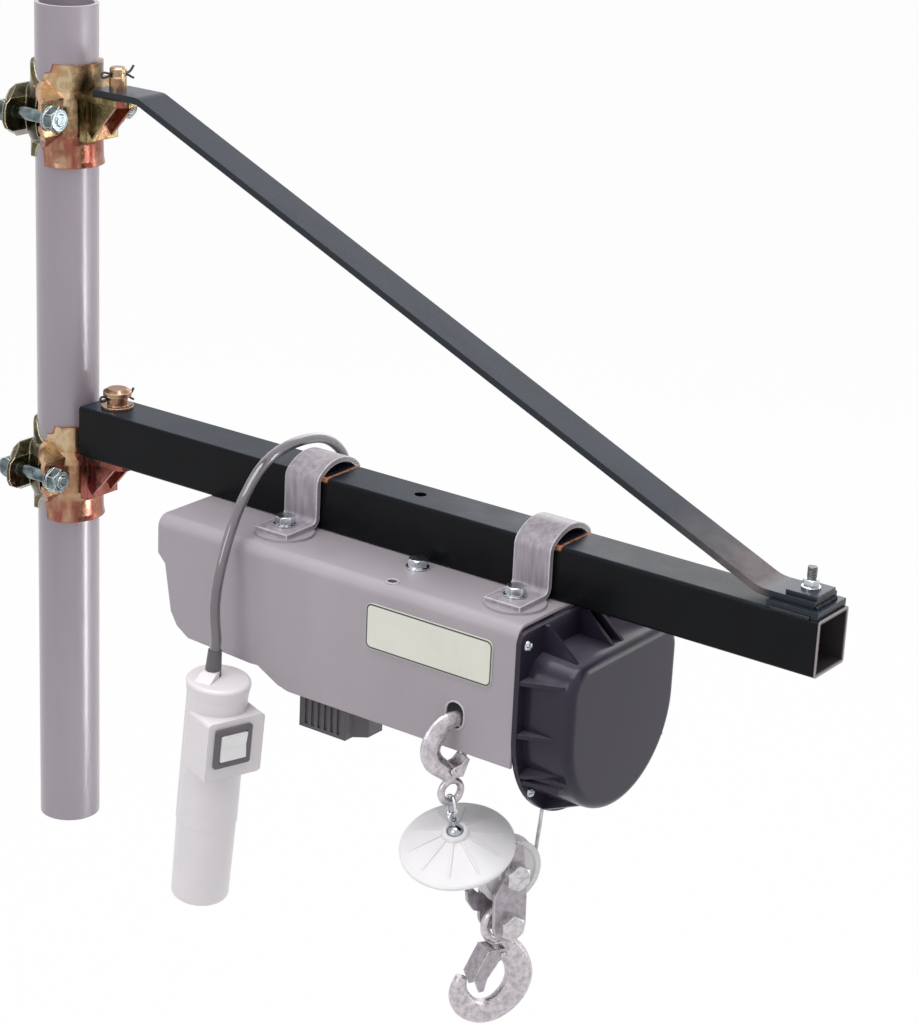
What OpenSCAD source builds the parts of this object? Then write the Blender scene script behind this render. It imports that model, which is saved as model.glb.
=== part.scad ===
// Jib crane for a scaffold tube, with a small electric rope hoist hung from the boom.
// Millimetres, +Z up. The origin is the centre of the mast's lower end, the boom runs along +X.
// Helper names: along_x, along_y and along_z extrude a flat shape between two planes.

/* [Mast] */
// outside diameter of the mast tube
mast_d = 48.3; // [48:0.1:48.6]
// wall of the mast tube
mast_wall = 3.2; // [2.6:0.1:4]
// length of the mast piece
mast_len = 666; // [640:1:720]

/* [Boom] */
// height of the boom's centre line above the mast's lower end
boom_z = 340; // [320:1:350]
// side of the square boom tube
boom_w = 40; // [38:0.5:42]
// wall of the boom tube
boom_wall = 2.5; // [2:0.1:3]
// outside corner radius of the boom tube
boom_r = 2.5; // [2:0.1:3]
// how far the boom's outer end lies beyond the tip bolt
boom_past = 18.5; // [16:0.5:24]
// gap between the lower clamp's collar and the boom's inner end
boom_gap = 3; // [2:0.1:5]
// distance of the swing axis from the mast axis
pivot_x = 52; // [50:0.5:54]
// diameter of the lower swing pin
low_pin_d = 16; // [14:0.5:18]
// diameter of the upper swing pin
up_pin_d = 13; // [12:0.5:15]
// radial running clearance at both swing pins
pin_clear = 0.06; // [0.02:0.01:0.1]
// distance along the boom of the small spare hole in its top
spare_x = 345; // [330:1:355]
// diameter of the spare hole
spare_d = 9; // [7:0.5:11]

/* [Strut] */
// width of the flat strut
strut_w = 30; // [26:1:34]
// thickness of the flat strut
strut_t = 5; // [4:0.5:6]
// height of the upper clamp's middle above the mast's lower end
up_clamp_z = 584; // [570:1:600]
// distance of the strut's upper bend from the mast axis
bend_up_x = 84; // [80:1:90]
// distance of the strut's lower bend before the tip bolt
bend_before = 29.5; // [22:0.5:36]
// centre-line radius of the upper bend
bend_up_r = 14; // [10:1:20]
// centre-line radius of the lower bend
bend_low_r = 30; // [15:1:40]
// distance of the tip bolt from the mast axis
tip_x = 661.5; // [655:0.5:665]
// diameter of the tip bolt's thread
tip_d = 6; // [5:0.5:8]

/* [Clamps] */
// sheet thickness of both clamp halves
sheet = 3.2; // [2.5:0.1:4]
// half the height of a clamp collar
clamp_h = 39; // [35:1:42]
// radius of the saddle's middle barrel
barrel_r = 30.5; // [29.5:0.5:33]
// sideways distance of the clamp bolts from the mast axis
clamp_bolt_y = 38; // [37:0.5:40]
// diameter of the clamp bolts
clamp_bolt_d = 10; // [8:0.5:12]
// height of the bracket shelf above the clamp's middle
shelf_h = 19; // [17:1:22]
// thickness of the bracket plates
plate_t = 5; // [4:0.5:6]

/* [Hoist] */
// inner end of the hoist housing
house_x0 = 165; // [163:1:170]
// outer end of the hoist housing, where the end cover begins
house_x1 = 487; // [484:1:490]
// half the width of the housing
house_y = 78; // [74:1:82]
// depth of the housing's outer part below its top
house_h = 104; // [100:1:108]
// sheet thickness of the housing
house_wall = 2; // [1.5:0.1:3]
// radius of the housing's long upper edges
house_r = 9; // [6:0.5:12]
// centre of the inner strap along the boom
strap_a_x = 256; // [250:1:262]
// centre of the outer strap along the boom
strap_b_x = 460; // [450:1:462]
// width of the straps
strap_w = 30; // [26:1:32]
// thickness of the straps
strap_t = 4; // [3:0.5:5]
// inner radius of the straps' arch
arch_r = 30; // [29:0.5:34]
// sideways distance of the strap bolts from the boom's centre line
strap_bolt_y = 43; // [41:0.5:46]
// diameter of the strap bolts
strap_bolt_d = 8; // [7:0.5:9]
// radius of the raised round pads under the strap feet
pad_r = 22; // [18:0.5:22.5]

/* [End cover] */
// radius of the cover's rounded lower half
cover_r = 68; // [64:1:70]
// how far the cover stands out from the housing
cover_x = 40; // [36:1:44]
// radius round the rim of the cover's outer face
cover_fillet = 7; // [5:0.5:9]
// width of the cover's screw flange round the dome
cover_lip = 11; // [9:0.5:12]

/* [Lifting gear] */
// outside diameter of the block's sheave
sheave_d = 49; // [46:0.5:50]
// diameter of the wire rope
rope_d = 3; // [2.5:0.1:4]
// distance between the two bolts of the block
block_h = 39; // [38.5:0.5:42]
// diameter of the block's bolts
block_bolt_d = 10; // [8:0.5:11]
// free width between the block's side plates
block_in = 18; // [17:0.5:20]
// radius of the dished limit plate
disc_r = 41; // [39:0.5:43]

/* [Pendant] */
// diameter of the hand control at its top
pend_d = 47.6; // [45:0.2:50]
// diameter of the hand control at its bottom
pend_low_d = 43; // [40:0.5:46]
// length of the hand control
pend_len = 181; // [170:1:195]
// diameter of its cable
cable_d = 8; // [7:0.5:9]

/* [Hidden] */
$fn = 64;
eps = 0.01;
mast_r = mast_d/2;
fit_gap = 0.05;
collar_r = mast_r + fit_gap + sheet;
boom_x0 = collar_r + boom_gap;
boom_top = boom_z + boom_w/2;
boom_bot = boom_z - boom_w/2;
low_clamp_z = boom_bot - shelf_h;
up_shelf_z = up_clamp_z + shelf_h;
house_top = boom_bot;
house_bot = house_top - house_h;
pad_t = 2;
foot_z = house_top + pad_t;
tip_pad_t = 5;
tip_sq_t = 3;
tip_washer_t = 1.6;
dome_z = house_top - 79;
flange_t = 4;
strut_low_z = boom_top + tip_pad_t;
boom_end = tip_x + boom_past;
bend_low_x = tip_x - bend_before;

// ---------- helpers ----------
function arc(cx, cy, r, a0, a1, n = 12) =
    [for (i = [0:n]) let (a = a0 + (a1 - a0)*i/n) [cx + r*cos(a), cy + r*sin(a)]];
function unit(v) = v/norm(v);
function cat(list) = [for (l = list) each l];
// one point of a smooth curve through p1 and p2
function smooth(p0, p1, p2, p3, t) =
    0.5*((2*p1) + (p2 - p0)*t + (2*p0 - 5*p1 + 4*p2 - p3)*t*t + (3*p1 - p0 - 3*p2 + p3)*t*t*t);
function spline(p, k) = let (n = len(p) - 1) concat(
    [for (i = [0:n - 1]) for (j = [0:k - 1])
        smooth(p[max(i - 1, 0)], p[i], p[i + 1], p[min(i + 2, n)], j/k)], [p[n]]);

// outline of a flat bar of thickness t along a path of [x, z, heading]
function bar(path, t) = concat(
    [for (q = path) [q[0] - t/2*sin(q[2]), q[1] + t/2*cos(q[2])]],
    [for (i = [len(path) - 1:-1:0]) let (q = path[i])
        [q[0] + t/2*sin(q[2]), q[1] - t/2*cos(q[2])]]);

module along_x(x0, x1) translate([x0, 0, 0]) rotate([90, 0, 90]) linear_extrude(x1 - x0) children();
module along_y(y0, y1) translate([0, y1, 0]) rotate([90, 0, 0]) linear_extrude(y1 - y0) children();
module along_z(z0, z1) translate([0, 0, z0]) linear_extrude(z1 - z0) children();
module rod_x(d, x0, x1) translate([x0, 0, 0]) rotate([0, 90, 0]) cylinder(d = d, h = x1 - x0);
module round_rect(w, h, r, n = 8) polygon(cat([arc(w/2 - r, h/2 - r, r, 0, 90, n),
    arc(r - w/2, h/2 - r, r, 90, 180, n), arc(r - w/2, r - h/2, r, 180, 270, n),
    arc(w/2 - r, r - h/2, r, 270, 360, n)]));
// hexagon of a nut or bolt head, chamfered at its far end
module hex(af, h) intersection() {
    cylinder(d = af/cos(30), h = h, $fn = 6);
    cylinder(d1 = 0.94*af + 3.46*h, d2 = 0.94*af, h = h);
}

// tube swept along 3-D points; radii a and b per point, ref sets how the section stands
module sweep(p, a, b, ref, n = 12) {
    k = len(p);
    t = [for (i = [0:k - 1]) unit(p[min(i + 1, k - 1)] - p[max(i - 1, 0)])];
    u = [for (i = [0:k - 1]) unit(cross(ref, t[i]))];
    v = [for (i = [0:k - 1]) cross(t[i], u[i])];
    pts = [for (i = [0:k - 1]) for (j = [0:n - 1])
        p[i] + a[i]*cos(360*j/n)*u[i] + b[i]*sin(360*j/n)*v[i]];
    faces = concat([[for (j = [0:n - 1]) j]], [[for (j = [n - 1:-1:0]) (k - 1)*n + j]],
        [for (i = [0:k - 2]) for (j = [0:n - 1])
            [i*n + j, (i + 1)*n + j, (i + 1)*n + (j + 1)%n, i*n + (j + 1)%n]]);
    polyhedron(points = pts, faces = faces, convexity = 6);
}
function same(p, r) = [for (q = p) r];

// ---------- mast and clamps ----------
module mast_tube() color("#9a94a0") difference() {
    cylinder(r = mast_r, h = mast_len, $fn = 96);
    translate([0, 0, -1]) cylinder(r = mast_r - mast_wall, h = mast_len + 2, $fn = 96);
}

ear_x = 14.5;
ear_t = 4;
ear_past = 8;
module half_mask(s, lo, hi) translate([s > 0 ? 0.8 : -60.8, -70, lo]) cube([60, 140, hi - lo]);
// closed outline from its right half, given as [sideways, height]
function both(p) = concat(p, [for (i = [len(p) - 1:-1:0]) [-p[i][0], p[i][1]]]);

// outside of the saddle as [radius, height], from its lower rim up
saddle_side = [[collar_r + 1.2, -clamp_h], [collar_r + 0.4, -clamp_h + 4], [collar_r, -22],
    [barrel_r - 1, -15], [barrel_r, -9], [barrel_r, 9], [barrel_r - 1, 14], [collar_r, 19],
    [collar_r, clamp_h]];
// inside of the clamp halves, as [radius, height] from the top down
function inner_side(ri, rb) = [[ri, 20], [rb - 1, 12], [rb, 8], [rb, -8], [rb - 1, -13], [ri, -21]];
// saddle and flap seen along the boom
ear_y = clamp_bolt_y + ear_past;
saddle_edge = both([[23, clamp_h + 1], [23.6, clamp_h - 6], [26, 29], [31, 25], [38, 21.5], [ear_y - 3, 18],
    [ear_y, 13], [ear_y, -7], [ear_y - 3, -12], [34, -18], [28, -24], [26, -31], [25.4, -clamp_h - 1]]);
flap_edge = both([[13, clamp_h - 1], [18, clamp_h - 3], [21, clamp_h - 8], [22.5, 27], [26, 21], [34, 17],
    [44, 13], [49, 9], [50.5, 4], [50.5, -5], [48, -10], [40, -14], [30, -18], [24, -23], [21.5, -30], [20.5, -35]]);

// clamp half carrying the bracket, about the clamp's middle
module saddle() {
    ri = mast_r + fit_gap;
    rb = barrel_r - sheet;
    face = ear_x + ear_t;
    intersection() {
        difference() {
            union() {
                intersection() {
                    rotate_extrude($fn = 96) polygon(cat([[[ri, -clamp_h]], saddle_side, [[ri, clamp_h]],
                        inner_side(ri, rb)]));
                    half_mask(1, -clamp_h - 1, clamp_h + 1);
                }
                // ear plates, with a roof and a floor running back to the collar
                difference() {
                    union() {
                        translate([ear_x, -ear_y, -12]) cube([ear_t, 2*ear_y, 27]);
                        along_y(-ear_y, ear_y) polygon([[face, 11], [face, 15], [4, 26.5], [0.8, 26.5], [0.8, 24]]);
                        along_y(-ear_y, ear_y) polygon([[face, -8], [face, -12], [4, -23.5], [0.8, -23.5], [0.8, -21]]);
                    }
                    rotate_extrude($fn = 96) polygon(cat([[[0, clamp_h], [ri, clamp_h]], inner_side(ri, rb),
                        [[ri, -clamp_h], [0, -clamp_h]]]));
                }
            }
            // the swing bolts slide in from the sides
            for (s = [-1, 1]) bolt_slot(s);
        }
        along_x(-1, 60) polygon(saddle_edge);
    }
}
module bolt_slot(s) {
    translate([ear_x - 20, s*clamp_bolt_y, 2]) rotate([0, 90, 0]) cylinder(d = clamp_bolt_d + 1, h = 60);
    translate([ear_x - 20, s > 0 ? clamp_bolt_y : -clamp_bolt_y - 20, 2 - clamp_bolt_d/2 - 0.5])
        cube([60, 20, clamp_bolt_d + 1]);
}

// clamp half on the far side: curved strap with two flared lugs
lug_x = -18;
module flap() {
    ri = mast_r + fit_gap;
    rb = barrel_r - sheet + 2;
    difference() {
        intersection() {
            union() {
                intersection() {
                    rotate_extrude($fn = 96) polygon(cat([[[ri, -clamp_h], [collar_r, -clamp_h], [collar_r, -22],
                        [barrel_r + 1, -13], [barrel_r + 2, -7], [barrel_r + 2, 7], [barrel_r + 1, 13],
                        [collar_r, 22], [collar_r, clamp_h], [ri, clamp_h]], inner_side(ri, rb)]));
                    half_mask(-1, -clamp_h - 1, clamp_h + 1);
                }
                difference() {
                    union() {
                        translate([lug_x, -51, -12]) cube([sheet, 102, 24]);
                        along_y(-51, 51) polygon([[lug_x + sheet, 9], [lug_x + sheet, 12.5], [lug_x - 8, 20],
                            [lug_x - 8, 16.5]]);
                        along_y(-51, 51) polygon([[lug_x + sheet, -9], [lug_x + sheet, -12.5], [lug_x - 8, -20],
                            [lug_x - 8, -16.5]]);
                    }
                    rotate_extrude($fn = 96) polygon(cat([[[0, clamp_h], [ri, clamp_h]], inner_side(ri, rb),
                        [[ri, -clamp_h], [0, -clamp_h]]]));
                }
            }
            along_x(-60, -0.8) polygon(flap_edge);
        }
        for (s = [-1, 1]) translate([-40, s*clamp_bolt_y, 2]) rotate([0, 90, 0])
            cylinder(d = clamp_bolt_d + 0.6, h = 30);
    }
}

// the two tightening bolts with rounded heads, washers and nuts
nut_h = 8.5;
module clamp_bolts() {
    for (s = [-1, 1]) translate([0, s*clamp_bolt_y, 2]) {
        rod_x(clamp_bolt_d, lug_x - 8, ear_x + ear_t + 2.5 + nut_h + 0.6);
        translate([lug_x - 8, 0, 0]) rotate([90, 0, 0]) difference() {
            cylinder(r = 8, h = 11, center = true);
            translate([8, -20, -20]) cube([40, 40, 40]);
        }
        translate([ear_x + ear_t, 0, 0]) {
            rod_x(20, 0, 2.5);
            translate([2.5, 0, 0]) rotate([0, 90, 0]) hex(17, nut_h);
        }
        translate([ear_x + ear_t + 2.5 + nut_h + 0.6 - eps, 0, 0]) rotate([0, 90, 0])
            cylinder(d1 = clamp_bolt_d, d2 = clamp_bolt_d - 2, h = 1.2);
    }
}

// welded bracket: leg against the saddle, shelf and two cheeks, about the clamp's middle
module bracket() {
    leg_x = barrel_r + 6;
    shelf_x = pivot_x + 21;
    low = plate_t - shelf_h;
    difference() {
        union() {
            translate([leg_x - 7.5, -17, -17]) cube([7.5, 34, 17 + shelf_h - plate_t + eps]);
            along_z(shelf_h - plate_t, shelf_h) polygon(cat([[[collar_r - 2, -17]], arc(shelf_x - 9, -8, 9, -90, 0, 6),
                arc(shelf_x - 9, 8, 9, 0, 90, 6), [[collar_r - 2, 17]]]));
            for (s = [-1, 1]) translate([0, s*10.5, 0]) along_y(-1.5, 1.5) polygon([
                [leg_x - 12, shelf_h - plate_t + eps], [leg_x + 24, shelf_h - plate_t + eps],
                [leg_x + 22, shelf_h - plate_t - 3], [leg_x + 2, low + 2], [leg_x - 1, low - 2], [leg_x - 12, low - 2]]);
        }
        rotate_extrude($fn = 96) polygon(cat([[[0, -clamp_h]], saddle_side, [[0, clamp_h]]]));
    }
}

module lower_saddle() color("#c08a4a") translate([0, 0, low_clamp_z]) saddle();
module upper_saddle() color("#c08a4a") translate([0, 0, up_clamp_z]) saddle();
module lower_flap() color("#a8834e") translate([0, 0, low_clamp_z]) flap();
module upper_flap() color("#a8834e") translate([0, 0, up_clamp_z]) flap();
module lower_clamp_bolts() color("#c9ccd1") translate([0, 0, low_clamp_z]) clamp_bolts();
module upper_clamp_bolts() color("#c9ccd1") translate([0, 0, up_clamp_z]) clamp_bolts();
module lower_bracket() color("#b06f4a") translate([0, 0, low_clamp_z]) bracket();
module upper_bracket() color("#b06f4a") translate([0, 0, up_clamp_z]) bracket();

split_d = 3;
low_split_z = boom_top + 8;
up_split_z = up_shelf_z + strut_t + 11;
// lower swing pin, standing on the shelf, with a loose collar kept on by a split pin
module lower_pin() color("#a9693f") translate([pivot_x, 0, 0]) difference() {
    union() {
        translate([0, 0, boom_bot]) cylinder(d = low_pin_d, h = boom_w + 14);
        translate([0, 0, boom_top + 0.3]) cylinder(r = 12.5, h = 2);
        translate([0, 0, boom_top + 9.9]) cylinder(d1 = 22, d2 = 22, h = 3.4);
        translate([0, 0, boom_top + 13.3]) cylinder(d1 = 22, d2 = 15, h = 2.2);
    }
    translate([0, 0, low_split_z]) rotate([90, 0, -20]) cylinder(d = split_d + 0.2, h = 30, center = true);
}
// upper swing pin with a groove under its head
module upper_pin() color("#a9693f") translate([pivot_x, 0, 0]) difference() {
    rotate_extrude() polygon([[0, up_shelf_z], [up_pin_d/2, up_shelf_z],
        [up_pin_d/2, up_split_z - 2], [up_pin_d/2 - 0.8, up_split_z - 1.5],
        [up_pin_d/2 - 0.8, up_split_z + 1.2], [up_pin_d/2 - 0.2, up_split_z + 1.6],
        [up_pin_d/2 - 0.2, up_split_z + 4.4], [up_pin_d/2 - 1.4, up_split_z + 5.6], [0, up_split_z + 5.6]]);
    translate([0, 0, up_split_z]) rotate([90, 0, -20]) cylinder(d = split_d + 0.2, h = 30, center = true);
}
module split_pin(r) {
    rod_x(split_d, -r - 7, r + 7);
    translate([-r - 8.5, 0, 0]) rotate_extrude() translate([3, 0]) circle(r = 1.2, $fn = 16);
}
module split_pins() color("#3a3534") {
    translate([pivot_x, 0, low_split_z]) rotate([0, 0, 70]) split_pin(low_pin_d/2);
    translate([pivot_x, 0, up_split_z]) rotate([0, 0, 70]) split_pin(up_pin_d/2);
}

// ---------- boom and strut ----------
module boom_tube() color("#26262a") difference() {
    translate([0, 0, boom_z]) along_x(boom_x0, boom_end) difference() {
        round_rect(boom_w, boom_w, boom_r);
        square(boom_w - 2*boom_wall, center = true);
    }
    translate([pivot_x, 0, boom_z - 30]) cylinder(r = low_pin_d/2 + pin_clear, h = 60);
    translate([tip_x, 0, boom_z - 30]) cylinder(d = tip_d + 0.6, h = 60);
    translate([spare_x, 0, boom_z]) cylinder(d = spare_d, h = 60);
}

up_c = up_shelf_z + strut_t/2;
low_c = strut_low_z + strut_t/2;
slope = atan((up_c - low_c)/(bend_low_x - bend_up_x));
tan_up = bend_up_r*tan(slope/2);
tan_low = bend_low_r*tan(slope/2);
strut_path = cat([[[pivot_x - 12, up_c, 0]],
    [for (i = [0:6]) let (a = slope*i/6)
        [bend_up_x - tan_up + bend_up_r*sin(a), up_c - bend_up_r*(1 - cos(a)), -a]],
    [for (i = [0:8]) let (a = slope*(1 - i/8))
        [bend_low_x + tan_low - bend_low_r*sin(a), low_c + bend_low_r*(1 - cos(a)), -a]],
    [[tip_x + 11.5, low_c, 0]]]);
module strut_bar() color("#2a2a2e") difference() {
    along_y(-strut_w/2, strut_w/2) polygon(bar(strut_path, strut_t));
    translate([pivot_x, 0, up_shelf_z - 1]) cylinder(r = up_pin_d/2 + pin_clear, h = 10);
    translate([tip_x, 0, strut_low_z - 1]) cylinder(d = tip_d + 0.6, h = 10);
}
module tip_pad() color("#1c1c1f") difference() {
    union() {
        translate([tip_x - 21.5, -boom_w/2 + 1, boom_top]) cube([38, boom_w - 2, tip_pad_t]);
        translate([tip_x - 11.5, -12.5, strut_low_z + strut_t]) cube([23, 25, tip_sq_t]);
    }
    translate([tip_x, 0, boom_top - 1]) cylinder(d = tip_d + 0.6, h = 30);
}
module tip_bolt() color("#c4c8cf") translate([tip_x, 0, 0]) {
    top = strut_low_z + strut_t + tip_sq_t;
    translate([0, 0, boom_bot - 4]) hex(tip_d + 4, 4);
    translate([0, 0, boom_bot - eps]) cylinder(d = tip_d, h = top + 15 - boom_bot);
    translate([0, 0, top]) cylinder(d = 2*tip_d + 1, h = tip_washer_t);
    translate([0, 0, top + tip_washer_t]) hex(tip_d + 4, tip_d - 0.8);
}

// ---------- straps ----------
leg_c = boom_w/2 + 1.5 + strap_t/2;
strap_clear = 0.1;
arch_z = boom_z + boom_w/2 - boom_r - sqrt(pow(arch_r - boom_r - strap_clear, 2) - pow(boom_w/2 - boom_r, 2));
shoulder_r = 8;
foot_r = 6;
arch_c = arch_r + strap_t/2;
sh_y = leg_c - shoulder_r;
sh_z = arch_z + sqrt(pow(arch_c - shoulder_r, 2) - sh_y*sh_y);
sh_a = atan2(sh_z - arch_z, sh_y);
foot_c = foot_z + strap_t/2;
half_strap = cat([[[59, foot_c, 180]],
    [for (i = [0:6]) let (a = 270 - 90*i/6) [leg_c + foot_r + foot_r*cos(a), foot_c + foot_r + foot_r*sin(a), a - 90]],
    [for (i = [0:6]) let (a = sh_a*i/6) [sh_y + shoulder_r*cos(a), sh_z + shoulder_r*sin(a), a + 90]],
    [for (i = [1:10]) let (a = sh_a + (90 - sh_a)*i/10) [arch_c*cos(a), arch_z + arch_c*sin(a), a + 90]]]);
strap_path = concat(half_strap, [for (i = [len(half_strap) - 2:-1:0]) let (q = half_strap[i])
    [-q[0], q[1], -q[2]]]);
module strap(x) difference() {
    along_x(x - strap_w/2, x + strap_w/2) polygon(bar_strap(strap_path, strap_t));
    for (s = [-1, 1]) translate([x, s*strap_bolt_y, foot_z - 1]) cylinder(d = strap_bolt_d + 0.6, h = 10);
}
// the strap's outline: one side out, the other side back
function bar_strap(path, t) = let (n = len(path), m = (n - 1)/2,
    h = [for (i = [0:n - 1]) i <= m ? path[i][2] : 360 - path[2*m - i][2]]) concat(
    [for (i = [0:n - 1]) [path[i][0] + t/2*sin(h[i]), path[i][1] - t/2*cos(h[i])]],
    [for (i = [n - 1:-1:0]) [path[i][0] - t/2*sin(h[i]), path[i][1] + t/2*cos(h[i])]]);
module inner_strap() color("#a9a5ad") strap(strap_a_x);
module outer_strap() color("#a9a5ad") strap(strap_b_x);
module bolt_down(top, len) {
    cylinder(d = 17, h = 1.6);
    translate([0, 0, 1.6 - eps]) cylinder(d = 13, h = 0.6);
    translate([0, 0, 2.2 - 2*eps]) hex(13, 5.3);
    translate([0, 0, -len]) cylinder(d = strap_bolt_d, h = len + 1);
}
third_x = 370;
third_y = -34;
module strap_bolts() color("#cfd2d8") {
    for (x = [strap_a_x, strap_b_x], s = [-1, 1])
        translate([x, s*strap_bolt_y, foot_z + strap_t]) rotate([0, 0, 17*s]) bolt_down(0, 14);
    translate([third_x, third_y, house_top]) bolt_down(0, 10);
}

// ---------- hoist ----------
// front outline of the housing, set in by w; the inner one is open below
function house_out(w) = let (x = house_x0 + w, t = house_top - w, b = house_bot)
    [[x, t], [x, t - 29], [x + 7, t - 36], [x + 13, t - 72], [x + 19, t - 82], [x + 30, t - 89]];
function house_sec(w) = let (y = house_y - w, t = house_top - w, r = max(house_r - w, 1)) cat([
    [[-y, house_top - 150]], arc(-y + r, t - r, r, 180, 90, 8), arc(y - r, t - r, r, 90, 0, 8),
    [[y, house_top - 150]]]);
slot_x = 439;
slot_z = house_bot + 26;
slot_w = 15;
slot_h = 20;
module hoist_housing() color("#a39ca3") difference() {
    union() {
        intersection() {
            along_y(-house_y, house_y) polygon(cat([house_out(0),
                [[255, house_top - 92], [262, house_top - 91.6], [281, house_top - 101.5],
                 [291, house_bot], [house_x1, house_bot], [house_x1, house_top]]]));
            along_x(house_x0 - 1, house_x1) polygon(house_sec(0));
        }
        for (x = [strap_a_x, strap_b_x], s = [-1, 1]) translate([x, s*strap_bolt_y, house_top - 1])
            cylinder(r = pad_r, h = pad_t + 1);
    }
    intersection() {
        along_y(-house_y + house_wall, house_y - house_wall) polygon(cat([house_out(house_wall),
            [[202, house_top - 92], [202, house_top - 130], [house_x1 + 1, house_top - 130],
             [house_x1 + 1, house_top - house_wall]]]));
        along_x(house_x0 + house_wall, house_x1 + 1) polygon(house_sec(house_wall));
    }
    // hole the rope end's hook hangs in
    along_y(-house_y - 1, -house_y + 8) translate([slot_x, slot_z]) round_rect(slot_w, slot_h, slot_w/2 - 0.01);
    translate([373, -67, house_top - 5]) cylinder(d = 8, h = 10);
    for (x = [strap_a_x, strap_b_x], s = [-1, 1]) translate([x, s*strap_bolt_y, house_top - 5])
        cylinder(d = strap_bolt_d + 0.6, h = 10);
    translate([third_x, third_y, house_top - 5]) cylinder(d = strap_bolt_d + 0.6, h = 10);
}
tray_z = house_top - 86;
tray_x = house_x0 + 39;
wall_x = house_x1 - 73;
module inner_tray() color("#5d5860") union() {
    translate([tray_x, -house_y + house_wall, tray_z]) cube([wall_x + 2 - tray_x, 2*(house_y - house_wall), 2]);
    translate([tray_x, -56, tray_z - 14]) cube([50, 112, 14 + eps]);
    translate([wall_x, -house_y + house_wall, tray_z]) cube([2, 2*(house_y - house_wall), 70]);
    // guard between the drum and the housing's front
    translate([wall_x, drum_y - drum_r - 10 - 2, tray_z - 14]) cube([house_x1 - 8 - wall_x, 2, 84]);
}
motor_z = tray_z + 2 + 34;
drum_y = -18;
drum_z = house_top - 62;
drum_r = 26;
module motor() color("#6b6670") translate([0, 0, motor_z]) rod_x(68, tray_x + 2, wall_x);
module rope_drum() color("#8a8790") translate([0, drum_y, drum_z]) {
    rod_x(2*drum_r, wall_x + 2, house_x1 - 4);
    for (x = [wall_x + 6, house_x1 - 7]) rod_x(2*drum_r + 12, x, x + 4);
    for (i = [0:11]) translate([wall_x + 13 + 4*i, 0, 0]) rotate([0, 90, 0]) rotate_extrude()
        translate([drum_r + 1, 0]) circle(r = 1.9, $fn = 16);
}

// flat D outline of the cover, square above and round below
function cover_d(r, top, cr) = cat([arc(0, 0, r, 180, 360, 36),
    arc(r - cr, top - cr, cr, 0, 90, 8), arc(cr - r, top - cr, cr, 90, 180, 8)]);
cover_top = 53;
cover_holes = [[-71, 65], [71, 65], [-57.5, -48.3], [57.5, -48.3]];
// wall section of the dome from its middle out to radius r: [distance, height]
function dome_sec(r) = cat([[[0, 0], [r + 2, 0]],
    arc(r - cover_fillet, cover_x - flange_t - cover_fillet, cover_fillet, 3, 90, 8),
    [[0, cover_x - flange_t]]]);
// keeps what lies below a height
module below(z) intersection() {
    children();
    translate([-200, -200, z - 400]) cube([400, 400, 400 + eps]);
}
module end_cover() color("#4b4753") translate([house_x1, 0, dome_z]) {
    dx = flange_t;
    cr = 20;
    difference() {
        union() {
            along_x(0, flange_t) polygon(cover_d(cover_r + cover_lip, 75, 8));
            // round lower half, straight sides, upper corners and top of the dome
            below(0) translate([dx, 0, 0]) rotate([0, 90, 0]) rotate_extrude(angle = 360)
                polygon(dome_sec(cover_r));
            for (s = [-1, 1]) mirror([0, s > 0 ? 0 : 1, 0]) {
                along_z(0, cover_top - cr) polygon([for (q = dome_sec(cover_r)) [dx + q[1], q[0]]]);
                translate([dx, cover_r - cr, cover_top - cr]) rotate([0, 90, 0]) rotate_extrude()
                    polygon(dome_sec(cr));
                along_y(0, cover_r - cr) polygon([for (q = dome_sec(cr)) [dx + q[1], cover_top - cr + q[0]]]);
            }
            translate([dx, -cover_r + cr, 0]) cube([cover_x - flange_t, 2*(cover_r - cr), cover_top - cr]);
            // tapering ribs on the flange
            for (s = [-1, 1]) {
                for (z = [40, 1, -37]) translate([0, 0, z]) along_z(-1.5, 1.5) polygon([
                    [dx - eps, s*(cover_r - 4)], [dx - eps, s*(cover_r + cover_lip - (z < -30 ? 10 : 0.5))],
                    [dx + 3, s*(cover_r + cover_lip - (z < -30 ? 10.5 : 1))], [dx + 29, s*(cover_r - 1)], [dx + 29, s*(cover_r - 8)]]);
                for (y = [50, 6]) translate([0, s*y, 0]) along_y(-1.5, 1.5) polygon([
                    [dx - eps, cover_top - 4], [dx - eps, 74.5], [dx + 3, 74], [dx + 29, cover_top - 1], [dx + 29, cover_top - 6]]);
                for (a = [30, 66]) rotate([s*a, 0, 0]) along_y(-1.5, 1.5) polygon([
                    [dx - eps, -cover_r + 4], [dx - eps, -cover_r - cover_lip + 0.5], [dx + 3, -cover_r - cover_lip + 1],
                    [dx + 29, -cover_r + 1], [dx + 29, -cover_r + 8]]);
            }
        }
        // hollow inside
        below(0) translate([-1, 0, 0]) rotate([0, 90, 0]) cylinder(r = cover_r - 4, h = cover_x - 3);
        translate([-1, -cover_r + 8, -1]) cube([cover_x - 3, 2*cover_r - 16, cover_top - 7]);
        for (q = cover_holes) translate([-1, q[0], q[1]])
            rotate([0, 90, 0]) cylinder(d = 4.4, h = 10);
    }
}
module cover_screws() color("#b9bcc4") for (q = cover_holes)
    translate([house_x1, q[0], dome_z + q[1]]) {
        rod_x(4, 0.2, flange_t + 1);
        translate([flange_t, 0, 0]) rod_x(7.8, 0, 1.2);
        translate([flange_t + 1.2 - eps, 0, 0]) rotate([0, 90, 0]) cylinder(d1 = 7.8, d2 = 5, h = 1.3);
    }
under_x = house_x0 + 111;
under_l = 43;
under_y = 45;
under_w = 33;
under_z = house_bot - 42;
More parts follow.
